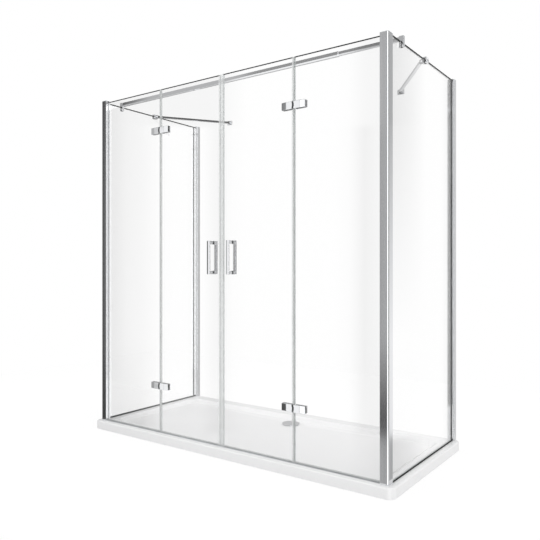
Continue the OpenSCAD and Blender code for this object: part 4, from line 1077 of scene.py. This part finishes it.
arm = prism(stadium(arm_a, arm_b, EYE_R), *arm_box[:, 2], ease=0.8 * MM)
brace_jaws = jaws(brace_box, clamp_y - BRACE_L / 2, clamp_y + BRACE_L / 2, ease=0.8 * MM)
wall_outline = fillet(rectangle(*plate_box[:, 0], *plate_box[:, 2]), PLATE_R)
wall_plate = prism(wall_outline, plate_y - PLATE_T, plate_y, "y", PLATE_EASE)
plate_x, plate_z = plate_box[:, 0].mean(), plate_box[:, 2].mean()
bores = [lathe([SCREW_HOLE_R] * 2, [plate_y - PLATE_BORE, plate_y + MM], (plate_x + offset, plate_z), "y", 24)
         for offset in (-PLATE_HOLES / 2, PLATE_HOLES / 2)]
for word, side in SIDES:
    sided(word, side, "brace_bar_{}", [arm], [chrome], "brace_arm_{}")
    blacken(sided(word, side, "brace_jaws_{}", [brace_jaws, *lugs(arm_a, arm_a + (EYE_OFFSET, 0))], plated,
                  "brace_clamp_{}"), on_clamp_lug)
    blacken(sided(word, side, "brace_plate_{}", [wall_plate, *lugs(arm_b, arm_b + (0, WALL_OFFSET))], plated,
                  "brace_wall_plate_{}", holes=bores), on_wall_lug)

# %% [markdown]
# ## Brace pins and grips
#
# The pins have domed ends. Each brace clamp is tightened from outside by a round chromed grip, which
# is turned and slightly dished.

# %% Brace pins and grips
pin_box = span("brace_pins")
BRACE_PIN_R, BRACE_PIN_DOME = 3 * MM, 0.6 * MM
piece("brace_pins_domed", both([dome_ended(BRACE_PIN_R, BRACE_PIN_DOME, *pin_box[:, 2], at) for at in (arm_a, arm_b)]),
      [steel], ["brace_pins"])

# The grip's radii, and how far each lies inwards of its face: shank, rim and dish.
GRIP = np.array([(2.5, 12), (2.5, 4), (8.4, 4), (9, 3.4), (9, 0.8), (8.2, 0), (6.5, 0), (5.5, 0.5), (0.5, 0.5)]) * MM
GRIP_DROP, SET_R, SET_DROP = 10.5 * MM, 2.5 * MM, 14 * MM
grip = lathe(GRIP[:, 0], span("clamp_screws")[1, 0] - GRIP[:, 1], (clamp_y, pad_top - GRIP_DROP), "x")
set_screw = lathe([SET_R, SET_R], [side_x - JAW_DEPTH, side_x - JAW_SLOT],
                  (bar_box[:, 1].mean(), pad_top - SET_DROP), "x", 24)
piece("grips_and_set_screws", both([grip, set_screw]), [chrome], ["clamp_screws"])

# %% [markdown]
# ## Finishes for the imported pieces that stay
#
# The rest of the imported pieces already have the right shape: the resin core, the waste, gaskets,
# pads and door sweeps. They keep their meshes and get their finish.

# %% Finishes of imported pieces
finish = {
    "tray_core": resin, "drain_flange": chrome, "drain_gasket": rubber, "drain_body": black_plastic,
    "hair_strainer": steel, "glazing_gaskets": gasket_rubber, "hinge_fixed_pads": rubber, "clamp_pads": rubber,
    "door_pads_left": rubber, "door_pads_right": rubber, "door_sweep_left": pvc, "door_sweep_right": pvc}
for node, material in finish.items():
    mesh = frame["nodes"][node].data
    for number in range(len(mesh.materials)):
        mesh.materials[number] = material
print("packed pieces that stay:", len(finish))

# %% [markdown]
# ## Studio
#
# Polished metal shows the room round it, so the room matters as much as the metal. The camera sees a
# white world. Reflections see a ring of studio walls instead, light and dark by compass direction,
# which gives the posts and hinges their bands of grey. Diffuse light comes evenly from all sides and
# from three soft lamps.

# %% World
# Compass degrees and the ring's greys there: one for its walls and one for its floor, or one for each of
# its six levels, from the top down to the floor.
RING = [
    (-180, 0.35, 0.4), (-172, 0.45, 0.5), (-162, 0.05, 0.3), (-156, 0.5, 0.5, 0.5, 0.5, 0.29, 1),
    (-148, 0.5, 0.5, 0.5, 0.5, 0.29, 1), (-147, 0.01, 0.1), (-140.8, 0.01, 0.1),
    (-140.3, 0.5, 0.5, 0.52, 0.5, 0.09, 1), (-138.4, 0.5, 0.5, 0.5, 0.6, 0.1, 1),
    (-136.9, 0.5, 0.5, 0.7, 0.7, 0.7, 1), (-136.1, 0.5, 0.5, 1, 1, 1, 1), (-132.3, 0.5, 0.5, 1, 1, 1, 1),
    (-130.9, 0.45, 0.5, 0.5, 0.5, 0.5, 1), (-130.2, 0.35, 0.5, 0.5, 0.5, 0.5, 1),
    (-129.6, 0.26, 0.5, 0.8, 0.8, 0.8, 1), (-129.2, 0.2, 1, 1, 1, 1, 1), (-118.4, 0.18, 1, 1, 1, 1, 1),
    (-116.6, 0.18, 0.5, 0.1, 0.1, 0.1, 0.6), (-115.8, 0.18, 0.4, 0, 0, 0, 0.3),
    (-115.3, 0.46, 0.46, 0.46, 0.44, 0.05, 0.37), (-110.2, 0.46, 0.46, 0.46, 0.44, 0.05, 0.37),
    (-109.6, 0.1, 0.1, 0.1, 0.1, 0.06, 0.6), (-108.2, 0.1, 0.1, 0.1, 0.1, 0.06, 0.6), (-107.6, 1.5, 1),
    (-106.3, 1.5, 1), (-105.7, 0.5, 0.6), (-100, 0.4, 0.5), (-94, 0.6, 0.7), (-88, 0.35, 0.45), (-82, 0.55, 0.6),
    (-72, 0.42, 0.55), (-69.5, 1, 1), (-67, 2.3, 2.3), (-34, 2.3, 2.3), (-29, 0.03, 0.4), (-17, 0.03, 0.4),
    (-14, 0.7, 0.8), (-6, 0.5, 0.7), (-4.5, 0.03, 0.4), (-1, 0.03, 0.4), (1.5, 0.45, 0.6), (6.5, 0.35, 0.5),
    (8.5, 0.03, 0.4), (12, 0.03, 0.4), (17, 0.35, 0.5), (26, 0.25, 0.4), (34, 0.03, 0.4), (38.5, 0.6, 1),
    (42.4, 1, 1), (46.4, 1, 1), (47.2, 0.15, 1), (52, 0.5, 1), (62, 0.5, 0.55, 0.5, 0.7, 0.7, 0.6),
    (65, 0.4, 0.42, 0.28, 1, 0.95, 0.37), (66.5, 0.4, 0.42, 0.28, 1, 0.95, 0.37), (68.8, 1, 1), (70.9, 1, 1),
    (71.3, 0.6, 0.8), (75, 0.45, 0.8), (78, 0.8, 0.8), (84, 0.4, 0.5), (90, 0.6, 0.7), (96, 0.4, 0.5),
    (103, 0.65, 0.7), (110, 0.85, 0.9), (118, 0.5, 0.5, 0.33, 0.33, 0.2, 0.45),
    (145, 0.5, 0.5, 0.33, 0.33, 0.2, 0.45), (155, 0.3, 0.5), (165, 0.2, 0.3), (173, 0.5, 0.5)]
ring = np.array([(row[0], *[row[1]] * 5, row[2]) if len(row) == 3 else row for row in RING])
# Compass degrees where the ramps join: the ring is white there.
JOINS = (-69.5, 42.4)
# The sine of the height where a level of the ring, by its column, starts, and where it is full.
LEVELS = ((4, 0.36, -0.12), (5, -0.12, -0.25), (6, -0.265, -0.275), (2, 0.222, 0.23), (1, 0.365, 0.385))
# The same for plain greys beyond the ring: towards the floor, above the walls, and overhead.
PLAIN = ((0.85, -0.42, -0.55), (1, 0.55, 0.7), (0.5, 0.75, 0.85))
DIFFUSE_LEVEL = 0.78

world = bpy.data.worlds.new("studio")
bpy.context.scene.world = world
world.use_nodes = True
tree = world.node_tree
tree.nodes.clear()
heading = add_node(tree, "TexCoord").outputs["Generated"]
parts = add_node(tree, "SeparateXYZ", {"Vector": heading}).outputs
compass = add_node(tree, "Math", {0: parts["Y"], 1: parts["X"]}, operation="ARCTAN2")
turn_share = add_node(tree, "MapRange", {"Value": compass, "From Min": -np.pi, "From Max": np.pi})


def grey(level):
    """An opaque grey."""
    return (level, level, level, 1)


def wall_ring(column):
    """Three ramps multiplied, each for its own part of the compass: they join where both are white, and
    beyond its own part each ramp stays white."""
    cuts = [0, *np.searchsorted(ring[:, 0], JOINS), len(ring) - 1]
    greys = None
    for first, last in zip(cuts, cuts[1:]):
        ramp = add_node(tree, "ValToRGB", {"Fac": turn_share}, [
            ((degrees + 180) / 360, grey(level)) for degrees, level in ring[first:last + 1, [0, column]].tolist()])
        greys = ramp if greys is None else add_node(
            tree, "Mix", {0: 1.0, 6: greys, 7: ramp}, data_type="RGBA", blend_type="MULTIPLY")
    return greys


def blend(below, other, start, full):
    """A mix of two greys by the sine of the height."""
    share = add_node(tree, "MapRange", {"Value": parts["Z"], "From Min": start, "From Max": full})
    return add_node(tree, "Mix", {0: share, 6: below, 7: other}, data_type="RGBA")


def seen_directly(tree, rays):
    """One for rays from the camera, straight or through glass, and nought for all others."""
    return add_node(tree, "Math", {0: rays["Is Camera Ray"], 1: rays["Is Transmission Ray"]}, operation="MAXIMUM")


reflected = wall_ring(3)
for column, start, full in LEVELS:
    reflected = blend(reflected, wall_ring(column), start, full)
for level, start, full in PLAIN:
    reflected = blend(reflected, grey(level), start, full)
rays = add_node(tree, "LightPath").outputs
lit = add_node(tree, "Mix", {0: rays["Is Glossy Ray"], 6: grey(DIFFUSE_LEVEL), 7: reflected}, data_type="RGBA")
final = add_node(tree, "Mix", {0: seen_directly(tree, rays), 6: lit, 7: grey(1)}, data_type="RGBA")
add_node(tree, "OutputWorld", {"Surface": add_node(tree, "Background", {"Color": final, "Strength": 1.0})})
print("ring of studio walls:", len(ring), "stops")

# %% [markdown]
# ## Lamps and floor
#
# The lamps are large and far, so their shadows are soft, and they are hidden from reflections, which
# the ring above takes care of. The floor is white: it adds some light of its own for the camera, so
# that it meets the white world without a seam and still keeps the enclosure's shadow.

# %% Lamps and floor
LAMPS = (("key", (-2.5, -4.0, 4.0), 12), ("fill", (4.5, -1.5, 2.5), 35), ("top", (0, 0, 4.5), 65))
LAMP_SIZE, AIM = 3.0, np.array([0, 0, 0.8])
FLOOR_GLOW = 0.82
FLOOR_X, FLOOR_FRONT, FLOOR_BACK, FLOOR_DROP = 3.2, -1.6, 2.2, 0.2 * MM
for name, spot, watts in LAMPS:
    light = bpy.data.lights.new(name, "AREA")
    light.size = LAMP_SIZE
    light.energy = watts
    lamp = add_object(name, light)
    away = np.array(spot) - AIM
    lamp.location = spot
    lamp.rotation_euler = (np.arctan2(np.hypot(away[0], away[1]), away[2]), 0,
                           np.arctan2(away[1], away[0]) + np.pi / 2)
    lamp.visible_glossy = False


def floor_paint(tree, where):
    """White paint with a glow for the camera, brighter for light that bounces, absent in reflections."""
    rays = add_node(tree, "LightPath").outputs
    direct = seen_directly(tree, rays)
    glow_level = add_node(tree, "Math", {0: direct, 1: FLOOR_GLOW}, operation="MULTIPLY")
    glow = add_node(tree, "Emission", {"Color": (1, 1, 1, 1), "Strength": glow_level})
    shade = add_node(tree, "Mix", {0: direct, 6: linear("#f0f0f0"), 7: linear("#787878")}, data_type="RGBA")
    paint = add_node(tree, "AddShader", {0: glow, 1: add_node(tree, "BsdfDiffuse", {"Color": shade})})
    return add_node(tree, "MixShader", {0: rays["Is Glossy Ray"], 1: paint, 2: add_node(tree, "BsdfTransparent")})


corners = rectangle(-FLOOR_X, FLOOR_X, FLOOR_FRONT, FLOOR_BACK)
mesh = bpy.data.meshes.new("studio_floor")
mesh.from_pydata(np.c_[corners, np.full(4, -FLOOR_DROP)].tolist(), [], [[0, 1, 2, 3]])
mesh.materials.append(new_material("studio_floor", None, floor_paint))
floor = add_object("studio_floor", mesh)

# %% [markdown]
# ## Camera
#
# The camera stands where the photographer stood: to the right of the doors, level, a metre above the
# floor. A level camera keeps all uprights parallel, and a small shift puts the horizon at its place.

# %% Camera
LENS_MM, SENSOR_MM = 39.72, 36.0
CAMERA_AT, CAMERA_TURN = (2.0686, -2.8387, 1.0132), np.radians(35.74)
IMAGE_PX, HORIZON_PX = 540, 266.03
camera_data = bpy.data.cameras.new("camera")
camera_data.lens = LENS_MM
camera_data.sensor_width = SENSOR_MM
camera_data.shift_y = (HORIZON_PX - IMAGE_PX / 2) / IMAGE_PX
camera = add_object("camera", camera_data)
camera.location = CAMERA_AT
camera.rotation_euler = (np.pi / 2, 0, CAMERA_TURN)
bpy.context.scene.camera = camera
bpy.context.scene.view_settings.view_transform = "Standard"
